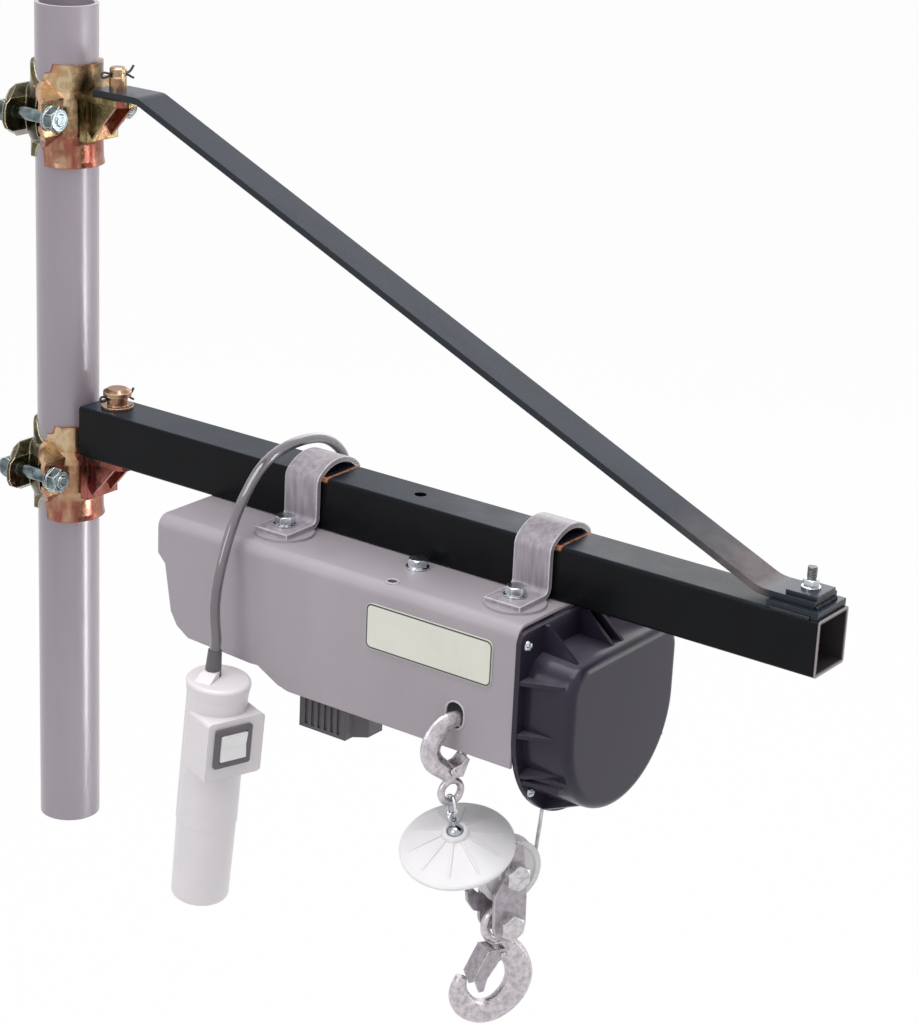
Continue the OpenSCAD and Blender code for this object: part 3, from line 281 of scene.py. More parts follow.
finishes = {
    "mastPaint": dict(color=(0.29, 0.253, 0.292), rough=0.34, large=25, vary=0.07, coat=0.6, coatRough=0.24,
                      bump=0.08, round=0.0005, stretch=(1, 1, 0.15)),
    # bright bolts and nuts: the strong mottle and near-white edges are painted reflection and painted glints
    "boltZinc": dict(color=(0.50, 0.53, 0.56), metallic=1, rough=0.2, large=90, vary=0.45, bump=0.06,
                     round=0.0004, wearAndGlint=0.85, wearAndGlintBreak=0.05, wearAndGlintColor=(0.92, 0.93, 0.95)),
    # clamp bolts: the teal colour and near-white edges are painted reflection and painted glints
    "clampBolt": dict(color=(0.15, 0.19, 0.20), metallic=1, rough=0.16, large=110, vary=0.7, bump=0.05,
                      round=0.0005, wearAndGlint=1, wearAndGlintRadius=0.0012, wearAndGlintBreak=0.02,
                      wearAndGlintColor=(0.92, 0.94, 0.94)),
    "darkSteel": dict(color=(0.06, 0.055, 0.055), metallic=0.7, rough=0.4, large=120, vary=0.3, bump=0.2),
    "hoistGrey": dict(color=(0.355, 0.32, 0.355), rough=0.46, large=14, vary=0.05, coat=0.15, coatRough=0.3,
                      bump=0.12, round=0.0012, stretch=(1, 1, 0.25), wearAndGlint=0.35,
                      wearAndGlintColor=(0.62, 0.6, 0.63)),
    # the straps' near-white edges: partly worn paint, partly painted highlight
    "strapSteel": dict(color=(0.31, 0.275, 0.312), rough=0.36, large=260, vary=0.2, coat=0.3, bump=0.45,
                       round=0.0009, stretch=(1, 1, 0.16), wearAndGlint=1, wearAndGlintRadius=0.0018, wearAndGlintBreak=0.05,
                       wearAndGlintColor=(0.95, 0.94, 0.96)),
    "innerGrey": dict(color=(0.10, 0.092, 0.105), rough=0.55, large=30, vary=0.15, bump=0.2),
    # the cover's top faces are painted lighter, a painted sheen
    "coverPlastic": dict(color=(0.025, 0.02, 0.037), ior=1.2, rough=0.3, roughVary=0.02, large=20,
                         vary=0.04, fine=2600, bump=0.12, round=0.0008, coat=0.3, coatRough=0.16,
                         topSheen=(0.085, 0.075, 0.10)),
    # the hooks' pale edges are painted highlights
    "hookSteel": dict(color=(0.56, 0.52, 0.555), metallic=0.75, rough=0.3, roughVary=0.1, large=260,
                      vary=0.22, fine=600, bump=0.4, round=0.0012, wearAndGlint=0.75, wearAndGlintRadius=0.0015,
                      wearAndGlintBreak=0.3, wearAndGlintColor=(0.88, 0.86, 0.88)),
    "boltGrey": dict(color=(0.60, 0.575, 0.60), metallic=0.8, rough=0.3, large=260, vary=0.2, bump=0.15,
                     round=0.0005, wearAndGlint=0.9, wearAndGlintBreak=0.1, wearAndGlintColor=(0.92, 0.91, 0.92)),
    "darkStud": dict(color=(0.10, 0.10, 0.105), metallic=0.85, rough=0.34, large=200, vary=0.3, bump=0.15,
                     round=0.0003, wearAndGlint=0.6, wearAndGlintBreak=0.3, wearAndGlintColor=(0.4, 0.42, 0.43)),
    "plateSteel": dict(color=(0.40, 0.37, 0.40), metallic=0.8, rough=0.36, roughVary=0.1, large=230,
                       vary=0.18, fine=500, bump=0.3, round=0.0006, wearAndGlint=0.9, wearAndGlintBreak=0.15,
                       wearAndGlintColor=(0.85, 0.83, 0.85)),
    "discPlastic": dict(color=(0.77, 0.755, 0.775), rough=0.34, large=25, vary=0.03, bump=0.08,
                        round=0.0006, under=0.4),
    "sheavePlastic": dict(color=(0.82, 0.81, 0.82), rough=0.4, large=30, vary=0.03, bump=0.08),
    "ropeWire": dict(color=(0.66, 0.65, 0.67), metallic=0.6, rough=0.35, large=200, vary=0.2, bump=0.1,
                     round=0),
    "cableRubber": dict(color=(0.13, 0.115, 0.135), rough=0.16, large=40, vary=0.06, bump=0.05, coat=1,
                        coatRough=0.06, round=0),
    "reliefRubber": dict(color=(0.115, 0.105, 0.115), rough=0.5, large=60, vary=0.1, bump=0.2),
    "pendantPlastic": dict(color=(0.73, 0.695, 0.722), rough=0.34, large=18, vary=0.03, fine=1800, bump=0.1,
                           round=0.0009, coat=0.15),
    "framePlastic": dict(color=(0.13, 0.115, 0.13), rough=0.42, large=60, vary=0.1, bump=0.15),
    "lipGrey": dict(color=(0.52, 0.49, 0.52), rough=0.4, large=60, vary=0.08, bump=0.1, round=0),
    "rockerWhite": dict(color=(0.87, 0.86, 0.87), rough=0.22, large=60, vary=0.02, bump=0.04, coat=0.3),
    "boxPlastic": dict(color=(0.105, 0.095, 0.108), rough=0.45, large=40, vary=0.08, bump=0.1, round=0.001),
}

# yellow zinc plating: clouds run through the stops, whose darkest colours are painted dark reflections, and
# the edges have a colour of their own
plating = {
    "goldZinc": dict(stops=[(0.35, (0.05, 0.035, 0.02)), (0.42, (0.25, 0.16, 0.08)),
                            (0.475, (0.56, 0.43, 0.27)), (0.525, (0.42, 0.27, 0.145)),
                            (0.575, (0.35, 0.16, 0.10)), (0.62, (0.45, 0.31, 0.17)),
                            (0.69, (0.11, 0.04, 0.03))],
                     edge=(0.38, 0.08, 0.08), edgeBreak=0.2, foot=(0.26, 0.06, 0.05)),
    # the flaps: near-black olive that is painted shade, with pale edges that are a painted highlight on their
    # rims
    "shadedOliveZinc": dict(stops=[(0.34, (0.010, 0.011, 0.007)), (0.46, (0.035, 0.033, 0.018)),
                             (0.53, (0.14, 0.12, 0.065)), (0.60, (0.055, 0.02, 0.02)),
                             (0.68, (0.22, 0.19, 0.11))],
                      edge=(0.72, 0.70, 0.52), edgeBreak=0.25),
    "redZinc": dict(stops=[(0.37, (0.10, 0.085, 0.03)), (0.44, (0.36, 0.29, 0.14)),
                           (0.485, (0.22, 0.065, 0.05)), (0.54, (0.36, 0.12, 0.10)),
                           (0.59, (0.10, 0.03, 0.025)), (0.65, (0.30, 0.24, 0.12))],
                    edge=(0.16, 0.03, 0.028), edgeBreak=0.02),
    "pinZinc": dict(stops=[(0.36, (0.12, 0.075, 0.04)), (0.48, (0.42, 0.30, 0.18)),
                           (0.58, (0.30, 0.14, 0.09))],
                    edge=(0.78, 0.66, 0.48), edgeBreak=0.1),
}
# what the platings share, and the clamps' middles with how far below them the red foot starts
zinc = dict(upright=(1, 1, 0.3), large=24.0, fine=700.0, specks=120, clouds=0.8, edgeRadius=0.0016, edge=0.85,
            metallic=0.92, rough=(0.16, 0.34), bump=0.25, bumpDepth=0.0003, round=0.0007)
foot = dict(middles=(0.301, 0.584), start=-0.013, fade=0.01, wave=0.09, streaks=150, upright=(1, 1, 0.12))


# the tint runs to red in streaks on the lower part of each clamp
def footMask(tree, coord, clouds):
    z = axes(tree, coord)[2]
    low, high = foot["middles"]
    upper = calc(tree, "GREATER_THAN", z, (low + high) / 2)
    middle = calc(tree, "ADD", calc(tree, "MULTIPLY", upper, high - low), low)
    wave = calc(tree, "MULTIPLY", calc(tree, "SUBTRACT", clouds, 0.5), foot["wave"])
    height = calc(tree, "ADD", calc(tree, "SUBTRACT", z, middle), wave)
    run = rangeMap(tree, height, foot["start"], foot["start"] - foot["fade"])
    streak = noise(tree, stretch(tree, coord, foot["upright"]), foot["streaks"])
    return calc(tree, "MULTIPLY", run, rangeMap(tree, streak, 0.35, 0.6, 1.0, 0.45))


def makePlating(name, p):
    mat, tree, bsdf, coord = newMaterial(name)
    upright = stretch(tree, coord, zinc["upright"])
    mottle, grain = useGroup(tree, grainGroup, Vector=upright, Large=zinc["large"], Fine=zinc["fine"])[:2]
    specks = noise(tree, coord, zinc["specks"], 4, 0.6)
    clouds = calc(tree, "ADD", calc(tree, "MULTIPLY", mottle, zinc["clouds"]),
                  calc(tree, "MULTIPLY", specks, 1 - zinc["clouds"]))
    col = ramp(tree, clouds, p["stops"])
    if "foot" in p:
        col = mixColor(tree, footMask(tree, coord, clouds), col, p["foot"])
    edge = useGroup(tree, edgeGroup, Vector=coord, Radius=zinc["edgeRadius"], Break=p["edgeBreak"])[0]
    col = mixColor(tree, calc(tree, "MULTIPLY", edge, zinc["edge"]), col, p["edge"])
    tree.links.new(col, bsdf.inputs["Base Color"])
    bsdf.inputs["Metallic"].default_value = zinc["metallic"]
    tree.links.new(rangeMap(tree, specks, 0.3, 0.7, *zinc["rough"]), bsdf.inputs["Roughness"])
    bumpNormal(tree, bsdf, grain, zinc["bump"], zinc["bumpDepth"], zinc["round"])
    return mat


# satin black coat of the boom and the strut, with a painted bluish sheen on the faces that look up; the
# strut's is a little bluer and glossier
blackCoat = dict(rough=0.28, roughVary=0.05, large=40, vary=0.12, fine=1300, bump=0.12, round=0.0008,
                 wearAndGlint=0.3, wearAndGlintBreak=0.62, wearAndGlintColor=(0.12, 0.10, 0.10), topSheen=(0.013, 0.021, 0.036))
boomCoat = dict(color=(0.005, 0.0055, 0.0065), ior=1.2)
strutCoat = dict(color=(0.009, 0.014, 0.021), ior=1.36)
# boom in metres: top, half width, half width of its hollow, middle height, cut end; and the straps on it
boom = {"top": 0.360, "side": 0.020, "inner": 0.0176, "middle": 0.340, "end": 0.680,
        "strapX": (0.256, 0.460), "strapHalf": 0.015}
# orange lines beside each strap: a line across the top, and the upper corner under the strap's arch
orangeMarks = {"color": (0.42, 0.16, 0.07), "wander": 0.0016, "out": 0.0035, "wide": 0.0016,
        "topFade": (0.0012, 0.0004), "arch": 0.008, "archHalf": (0.0125, 0.011), "corner": 0.0012,
        "cornerWide": (0.0022, 0.0008)}
# bare metal on the cut end, and the grey inside, paler than the coat
cutEnd = {"color": (0.40, 0.34, 0.35), "fade": (0.0007, 0.0003), "rim": (0.0006, 0.001), "rimDark": 0.35,
          "inside": (0.05, 0.043, 0.047), "insideFade": 0.0002}
# a painted brownish sheen on the strut, towards its tip end
strutSheen = {"x": (0.555, 0.640), "fades": (0.06, 0.01), "color": (0.13, 0.108, 0.112)}


# orange lines beside both straps, broken into patches
def orangeMarkMask(tree, coord):
    x, y, z = axes(tree, coord)
    wander = calc(tree, "MULTIPLY", calc(tree, "SUBTRACT", noise(tree, coord, 260), 0.5), orangeMarks["wander"])
    nearTop = rangeMap(tree, z, *(boom["top"] - d for d in orangeMarks["topFade"]))
    slope = calc(tree, "ADD", calc(tree, "ADD", calc(tree, "ABSOLUTE", y), z), wander)
    offCorner = away(tree, slope, boom["side"] + boom["top"] - orangeMarks["corner"])
    corner = rangeMap(tree, offCorner, *orangeMarks["cornerWide"])
    masks = []
    for strap in boom["strapX"]:
        off = away(tree, calc(tree, "ADD", x, wander), strap + boom["strapHalf"] + orangeMarks["out"])
        masks.append(calc(tree, "MULTIPLY", rangeMap(tree, off, orangeMarks["wide"], orangeMarks["wide"] * 0.4), nearTop))
        arch = rangeMap(tree, away(tree, x, strap + orangeMarks["arch"]), *orangeMarks["archHalf"])
        masks.append(calc(tree, "MULTIPLY", corner, arch))
    total = masks[0]
    for mask in masks[1:]:
        total = calc(tree, "MAXIMUM", total, mask)
    patches = rangeMap(tree, noise(tree, coord, 320, 4, 0.7), 0.34, 0.5)
    return calc(tree, "MULTIPLY", total, patches, True)


def makeBoomBlack():
    mat, tree, bsdf, coord, col = finish("boomBlack", {**blackCoat, **boomCoat})
    col = mixColor(tree, orangeMarkMask(tree, coord), col, orangeMarks["color"])
    x, y, z = axes(tree, coord)
    reach = calc(tree, "MAXIMUM", calc(tree, "ABSOLUTE", y), away(tree, z, boom["middle"]))
    inside = rangeMap(tree, reach, boom["inner"] + cutEnd["insideFade"], boom["inner"])
    col = mixColor(tree, inside, col, cutEnd["inside"])
    face = rangeMap(tree, x, *(boom["end"] - d for d in cutEnd["fade"]))
    rim = rangeMap(tree, reach, *(boom["inner"] + d for d in cutEnd["rim"]), cutEnd["rimDark"], 1)
    col = mixColor(tree, calc(tree, "MULTIPLY", face, rim), col, cutEnd["color"])
    tree.links.new(col, bsdf.inputs["Base Color"])
    return mat


def makeStrutBlack():
    mat, tree, bsdf, coord, col = finish("strutBlack", {**blackCoat, **strutCoat})
    x = axes(tree, coord)[0]
    (x0, x1), (fadeIn, fadeOut) = strutSheen["x"], strutSheen["fades"]
    # the strut is drawn lighter and browner here: a painted sheen, weaker in patches
    sheenRun = calc(tree, "MULTIPLY", rangeMap(tree, x, x0, x0 + fadeIn), rangeMap(tree, x, x1, x1 - fadeOut))
    patches = rangeMap(tree, noise(tree, coord, 60, 4, 0.6), 0.3, 0.6, 0.45, 1)
    col = mixColor(tree, calc(tree, "MULTIPLY", sheenRun, patches), col, strutSheen["color"])
    tree.links.new(col, bsdf.inputs["Base Color"])
    return mat


# bright nuts on a dark stud, which starts above the top nut
tipStud = {"from": (0.3797, 0.3800), "color": (0.09, 0.09, 0.095)}


def makeTipZinc():
    mat, tree, bsdf, coord, col = finish("tipZinc", finishes["boltZinc"])
    above = rangeMap(tree, axes(tree, coord)[2], *tipStud["from"])
    tree.links.new(mixColor(tree, above, col, tipStud["color"]), bsdf.inputs["Base Color"])
    return mat


# bare name plate, in metres: cream field inside a thin dark line with round corners; the line fades
# between two distances from its middle
plate = {"x": (0.360, 0.468), "z": (0.271, 0.305), "rim": 0.0009, "corner": 0.005,
         "line": (0.000744, 0.000504), "lineColor": (0.035, 0.05, 0.045)}
plateField = dict(color=(0.70, 0.69, 0.62), rough=0.3, large=30, vary=0.02, bump=0.05, coat=0.3, round=0)


def makePlateCream():
    mat, tree, bsdf, coord, col = finish("plateCream", plateField)
    x, _, z = axes(tree, coord)
    r = plate["corner"]
    squares = []
    for v, (low, high) in ((x, plate["x"]), (z, plate["z"])):
        beyond = calc(tree, "SUBTRACT", away(tree, v, (low + high) / 2), (high - low) / 2 - r)
        beyond = calc(tree, "MAXIMUM", beyond, 0)
        squares.append(calc(tree, "MULTIPLY", beyond, beyond))
    dist = calc(tree, "SQRT", calc(tree, "ADD", *squares))
    line = rangeMap(tree, away(tree, dist, r - plate["rim"]), *plate["line"])
    tree.links.new(mixColor(tree, line, col, plate["lineColor"]), bsdf.inputs["Base Color"])
    return mat


mats = {name: finish(name, f)[0] for name, f in finishes.items()}
mats.update({name: makePlating(name, p) for name, p in plating.items()})
mats.update(boomBlack=makeBoomBlack(), strutBlack=makeStrutBlack(), tipZinc=makeTipZinc(),
            plateCream=makePlateCream())
print(len(mats), "materials made")

# which nodes have which finish
dress = {
    "mastPaint": ["mast_tube"],
    "goldZinc": ["lower_saddle", "upper_saddle"],
    "pinZinc": ["lower_pin", "upper_pin"],
    "shadedOliveZinc": ["lower_flap", "upper_flap"],
    "redZinc": ["lower_bracket", "upper_bracket"],
    "clampBolt": ["lower_clamp_bolts", "upper_clamp_bolts"],
    "boltZinc": ["strap_bolts", "cover_screws", "chain_links"],
    "tipZinc": ["tip_bolt"],
    "darkSteel": ["split_pins", "rope_drum"],
    "boomBlack": ["boom_tube"],
    "strutBlack": ["strut_bar", "tip_pad"],
    "strapSteel": ["inner_strap", "outer_strap"],
    "hoistGrey": ["hoist_housing"],
    "innerGrey": ["inner_tray", "motor"],
    "coverPlastic": ["end_cover"],
    "boxPlastic": ["underside_box"],
    "plateCream": ["name_plate"],
    "hookSteel": ["end_hook", "main_hook", "end_hook_latch"],
    "plateSteel": ["block_plates", "main_hook_latch"],
    "boltGrey": ["block_bolts"],
    "discPlastic": ["limit_disc"],
    "ropeWire": ["hoist_rope"],
    "sheavePlastic": ["sheave"],
    "framePlastic": ["cable_gland", "switch_frame"],
    "reliefRubber": ["strain_relief"],
    "pendantPlastic": ["pendant_body"],
    "rockerWhite": ["rocker"],
}
for name, names in dress.items():
    for n in names:
        mesh = nodes[n].data
        mesh.materials.clear()
        mesh.materials.append(mats[name])
print("finishes given to", sum(len(v) for v in dress.values()), "nodes")


# cable from the housing over the boom to the hand control, in millimetres as in the part's source; its keys
# run from the hand control to the gland
pendant = {"top": (248, -104, 223), "tilt": 5, "reliefX": -6, "reliefLen": 20.12}
cable = {"diameter": 8, "gland": (228, 60, 336.12), "leaves": (4, 9), "between": 3,
         "keys": [(242, -103, 278), (242, -96, 308), (240, -78, 340), (237, -52, 364), (234, -24, 373),
                  (231, 6, 373), (229, 32, 368), (228, 50, 358), (228, 60, 347), (228, 60, 340)]}


def smoothPoint(p0, p1, p2, p3, t):
    return 0.5 * (2 * p1 + (p2 - p0) * t + (2 * p0 - 5 * p1 + 4 * p2 - p3) * t * t
                  + (3 * p1 - p0 - 3 * p2 + p3) * t ** 3)


def splinePoints(keys, steps):
    keys = [Vector(q) for q in keys]
    last = len(keys) - 1
    out = []
    for i in range(last):
        before, after = keys[max(i - 1, 0)], keys[min(i + 2, last)]
        out += [smoothPoint(before, keys[i], keys[i + 1], after, j / steps) for j in range(steps)]
    return out + [keys[last]]


def cableRoute():
    t = math.radians(pendant["tilt"])
    top, rl, rx = Vector(pendant["top"]), pendant["reliefLen"], pendant["reliefX"]
    end = top + Vector((math.sin(t) * rl + math.cos(t) * rx, 0, math.cos(t) * rl - math.sin(t) * rx))
    up = Vector((math.sin(t), 0, math.cos(t)))
    keys = [end, *(end + h * up for h in cable["leaves"]), *cable["keys"], cable["gland"]]
    return [p * mm for p in splinePoints(keys, cable["between"])][::-1]


def setPath(curve, path):
    spline = curve.splines.new("POLY")
    spline.points.add(len(path) - 1)
    for point, p in zip(spline.points, path):
        point.co = (*p, 1)
    return spline


def makeCable():
    route = cableRoute()
    curve = bpy.data.curves.new("pendantCable", "CURVE")
    curve.dimensions = "3D"
    setPath(curve, route)
    curve.bevel_depth = cable["diameter"] * mm / 2
    curve.bevel_resolution = 6
    curve.materials.append(mats["cableRubber"])
    cablePiece = bpy.data.objects.new("pendantCable", curve)
    scene.collection.objects.link(cablePiece)
    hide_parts("pendant_cord")
    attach(cablePiece, "jib")


# a geometry tree with named inputs for its sizes
def geoTree(name, ins):
    tree = bpy.data.node_groups.new(name, "GeometryNodeTree")
    tree.interface.new_socket("Geometry", in_out="INPUT", socket_type="NodeSocketGeometry")
    for label, kind, value in ins:
        s = tree.interface.new_socket(label, in_out="INPUT", socket_type=kind)
        if value is not None:
            s.default_value = value
    tree.interface.new_socket("Geometry", in_out="OUTPUT", socket_type="NodeSocketGeometry")
    return tree, tree.nodes.new("NodeGroupInput"), tree.nodes.new("NodeGroupOutput")


def add(tree, kind, **values):
    n = tree.nodes.new(kind)
    for k, v in values.items():
        setattr(n, k, v)
    return n


# a capped tube along a curve
def sweep(tree, curve, corners, radius):
    ring = add(tree, "GeometryNodeCurvePrimitiveCircle")
    ring.inputs["Resolution"].default_value = corners
    tree.links.new(radius, ring.inputs["Radius"])
    solid = add(tree, "GeometryNodeCurveToMesh")
    solid.inputs["Fill Caps"].default_value = True
    tree.links.new(curve, solid.inputs["Curve"])
    tree.links.new(ring.outputs[0], solid.inputs["Profile Curve"])
    return solid.outputs[0]


# every tree ends in real geometry with its material set
def finishTree(tree, geometry, source, out):
    real = add(tree, "GeometryNodeRealizeInstances")
    setMat = add(tree, "GeometryNodeSetMaterial")
    tree.links.new(geometry, real.inputs[0])
    tree.links.new(real.outputs[0], setMat.inputs["Geometry"])
    tree.links.new(source.outputs["Material"], setMat.inputs["Material"])
    tree.links.new(setMat.outputs[0], out.inputs[0])


# runs a tree on a base mesh and gives back a plain mesh
def grow(tree, verts, edges, values):
    base = bpy.data.meshes.new("base")
    base.from_pydata([tuple(v) for v in verts], edges, [])
    obj = bpy.data.objects.new("base", base)
    scene.collection.objects.link(obj)
    mod = obj.modifiers.new("grow", "NODES")
    mod.node_group = tree
    for item in tree.interface.items_tree:
        if item.in_out == "INPUT" and item.name in values:
            mod[item.identifier] = values[item.name]
    deps = bpy.context.evaluated_depsgraph_get()
    mesh = bpy.data.meshes.new_from_object(obj.evaluated_get(deps))
    obj.modifiers.remove(mod)
    bpy.data.objects.remove(obj)
    return mesh


def linkMesh(name, mesh, mat):
    obj = bpy.data.objects.new(name, mesh)
    scene.collection.objects.link(obj)
    mesh.materials.clear()
    mesh.materials.append(mat)
    return obj


# one piece from plain meshes, with its body and the nodes it takes the place of
def joinMeshes(name, meshes, mat, body, replaced=()):
    bm = bmesh.new()
    for mesh in meshes:
        bm.from_mesh(mesh)
    for f in bm.faces:
        f.material_index = 0
    out = bpy.data.meshes.new(name)
    bm.to_mesh(out)
    bm.free()
    obj = linkMesh(name, out, mat)
    if replaced:
        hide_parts(*replaced)
    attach(obj, body)
    return obj


def shadeSmooth(obj, angle=40):
    mesh = obj.data
    mesh.shade_smooth()
    bm = bmesh.new()
    bm.from_mesh(mesh)
    for e in bm.edges:
        e.smooth = not (len(e.link_faces) == 2 and e.calc_face_angle(0) > math.radians(angle))
    bm.to_mesh(mesh)
    bm.free()


# wire rope: strands wound round the route
def makeRopeTree():
    tree, i, o = geoTree("ropeStrands", [
        ("Strands", "NodeSocketInt", 6), ("Lay", "NodeSocketFloat", 0.018),
        ("Wind Radius", "NodeSocketFloat", 0.001), ("Strand Radius", "NodeSocketFloat", 0.0005),
        ("Step", "NodeSocketFloat", 0.0012), ("Material", "NodeSocketMaterial", None)])
    link = tree.links.new
    toCurve = add(tree, "GeometryNodeMeshToCurve")
    sample = add(tree, "GeometryNodeResampleCurve", mode="LENGTH")
    link(i.outputs["Geometry"], toCurve.inputs[0])
    link(toCurve.outputs[0], sample.inputs["Curve"])
    link(i.outputs["Step"], sample.inputs["Length"])
    copies = add(tree, "GeometryNodeDuplicateElements", domain="SPLINE")
    link(sample.outputs[0], copies.inputs["Geometry"])
    link(i.outputs["Strands"], copies.inputs["Amount"])
    along = add(tree, "GeometryNodeSplineParameter")
    turn = calc(tree, "DIVIDE", along.outputs["Length"], i.outputs["Lay"])
    share = calc(tree, "DIVIDE", copies.outputs["Duplicate Index"], i.outputs["Strands"])
    angle = calc(tree, "MULTIPLY", calc(tree, "ADD", turn, share), 2 * math.pi)
    normal = add(tree, "GeometryNodeInputNormal")
    tangent = add(tree, "GeometryNodeInputTangent")
    cross = add(tree, "ShaderNodeVectorMath", operation="CROSS_PRODUCT")
    link(tangent.outputs[0], cross.inputs[0])
    link(normal.outputs[0], cross.inputs[1])
    parts = []
    for axis, fn in ((normal.outputs[0], "COSINE"), (cross.outputs[0], "SINE")):
        scaleNode = add(tree, "ShaderNodeVectorMath", operation="SCALE")
        link(axis, scaleNode.inputs[0])
        reach = calc(tree, "MULTIPLY", calc(tree, fn, angle), i.outputs["Wind Radius"])
        link(reach, scaleNode.inputs["Scale"])
        parts.append(scaleNode.outputs[0])
    total = add(tree, "ShaderNodeVectorMath", operation="ADD")
    link(parts[0], total.inputs[0])
    link(parts[1], total.inputs[1])
    place = add(tree, "GeometryNodeSetPosition")
    link(copies.outputs["Geometry"], place.inputs["Geometry"])
    link(total.outputs[0], place.inputs["Offset"])
    finishTree(tree, sweep(tree, place.outputs[0], 6, i.outputs["Strand Radius"]), i, o)
    return tree


# thread ridges: a helix of given pitch round Z
def makeThreadTree():
    tree, i, o = geoTree("threadRidge", [
        ("Radius", "NodeSocketFloat", 0.004), ("Pitch", "NodeSocketFloat", 0.00125),
        ("Length", "NodeSocketFloat", 0.012), ("Ridge", "NodeSocketFloat", 0.0005),
        ("Material", "NodeSocketMaterial", None)])
    link = tree.links.new
    turns = calc(tree, "DIVIDE", i.outputs["Length"], i.outputs["Pitch"])
    helix = add(tree, "GeometryNodeCurveSpiral")
    helix.inputs["Resolution"].default_value = 24
    link(turns, helix.inputs["Rotations"])
    link(i.outputs["Radius"], helix.inputs["Start Radius"])
    link(i.outputs["Radius"], helix.inputs["End Radius"])
    link(i.outputs["Length"], helix.inputs["Height"])
    finishTree(tree, sweep(tree, helix.outputs[0], 4, i.outputs["Ridge"]), i, o)
    return tree


# weld seam: overlapping ripples along the base's edges
def makeWeldTree():
    tree, i, o = geoTree("weldRipples", [
        ("Spacing", "NodeSocketFloat", 0.0011), ("Bead", "NodeSocketFloat", 0.0016),
        ("Flat", "NodeSocketFloat", 0.55), ("Seed", "NodeSocketInt", 4),
        ("Material", "NodeSocketMaterial", None)])
    link = tree.links.new
    toCurve = add(tree, "GeometryNodeMeshToCurve")
    points = add(tree, "GeometryNodeCurveToPoints", mode="LENGTH")
    link(i.outputs["Geometry"], toCurve.inputs[0])
    link(toCurve.outputs[0], points.inputs["Curve"])
    link(i.outputs["Spacing"], points.inputs["Length"])
    ball = add(tree, "GeometryNodeMeshIcoSphere")
    ball.inputs["Subdivisions"].default_value = 2
    link(i.outputs["Bead"], ball.inputs["Radius"])
    wide = add(tree, "FunctionNodeRandomValue", data_type="FLOAT")
    wide.inputs[2].default_value = 0.8
    wide.inputs[3].default_value = 1.15
    link(i.outputs["Seed"], wide.inputs["Seed"])
    size = add(tree, "ShaderNodeCombineXYZ")
    link(wide.outputs[1], size.inputs[0])
    link(wide.outputs[1], size.inputs[1])
    link(i.outputs["Flat"], size.inputs[2])
    put = add(tree, "GeometryNodeInstanceOnPoints")
    link(points.outputs["Points"], put.inputs["Points"])
    link(ball.outputs[0], put.inputs["Instance"])
    link(points.outputs["Rotation"], put.inputs["Rotation"])
    link(size.outputs[0], put.inputs["Scale"])
    finishTree(tree, put.outputs[0], i, o)
    return tree


# round screw heads with a cross recess, one on each base point, facing along X
def makeScrewTree():
    tree, i, o = geoTree("crossScrews", [
        ("Radius", "NodeSocketFloat", 0.0039), ("Height", "NodeSocketFloat", 0.0026),
        ("Recess", "NodeSocketFloat", 0.0009), ("Material", "NodeSocketMaterial", None)])
    link = tree.links.new
    dome = add(tree, "GeometryNodeMeshUVSphere")
    dome.inputs["Segments"].default_value = 32
    dome.inputs["Rings"].default_value = 16
    link(i.outputs["Radius"], dome.inputs["Radius"])
    squash = add(tree, "GeometryNodeTransform")
    flat = add(tree, "ShaderNodeCombineXYZ")
    flat.inputs[0].default_value = 1
    flat.inputs[1].default_value = 1
    link(calc(tree, "DIVIDE", i.outputs["Height"], i.outputs["Radius"]), flat.inputs[2])
    link(dome.outputs["Mesh"], squash.inputs["Geometry"])
    link(flat.outputs[0], squash.inputs["Scale"])
    carve = add(tree, "GeometryNodeMeshBoolean", operation="DIFFERENCE")
    link(squash.outputs[0], carve.inputs[0])
    for turn in (0, math.pi / 2):
        bar = add(tree, "GeometryNodeMeshCube")
        size = add(tree, "ShaderNodeCombineXYZ")
        link(calc(tree, "MULTIPLY", i.outputs["Radius"], 1.15), size.inputs[0])
        link(i.outputs["Recess"], size.inputs[1])
        link(i.outputs["Height"], size.inputs[2])
        link(size.outputs[0], bar.inputs["Size"])
        move = add(tree, "GeometryNodeTransform")
        lift = add(tree, "ShaderNodeCombineXYZ")
        link(i.outputs["Height"], lift.inputs[2])
        move.inputs["Rotation"].default_value = (0, 0, turn)
        link(bar.outputs["Mesh"], move.inputs["Geometry"])
        link(lift.outputs[0], move.inputs["Translation"])
        link(move.outputs[0], carve.inputs[1])
    put = add(tree, "GeometryNodeInstanceOnPoints")
    put.inputs["Rotation"].default_value = (0.4, math.pi / 2, 0)  # tipped onto X, the cross a little turned
    toPoints = add(tree, "GeometryNodeMeshToPoints")
    link(i.outputs["Geometry"], toPoints.inputs[0])
    link(toPoints.outputs[0], put.inputs["Points"])
    link(carve.outputs[0], put.inputs["Instance"])
    finishTree(tree, put.outputs[0], i, o)
    return tree


# hook block and rope, in millimetres and degrees as in the part's source
block = {"low": (466.8, -48, 82.2), "turn": -25, "tilt": -1, "upY": 3, "height": 39}
rope = {"hub": (449, -85, 158), "ball": 5.6, "gap": 0.05, "drum": (470, 9, 258), "groove": 22, "thick": 3,
        "lay": 20, "strands": 6, "turnSteps": 24}


def blockPoint(x, y, z):
    t, a = math.radians(-block["tilt"]), math.radians(block["turn"])
    v = Vector((x, y * math.cos(t) - z * math.sin(t), y * math.sin(t) + z * math.cos(t)))
    return Vector(block["low"]) + Matrix.Rotation(a, 3, "Z") @ v


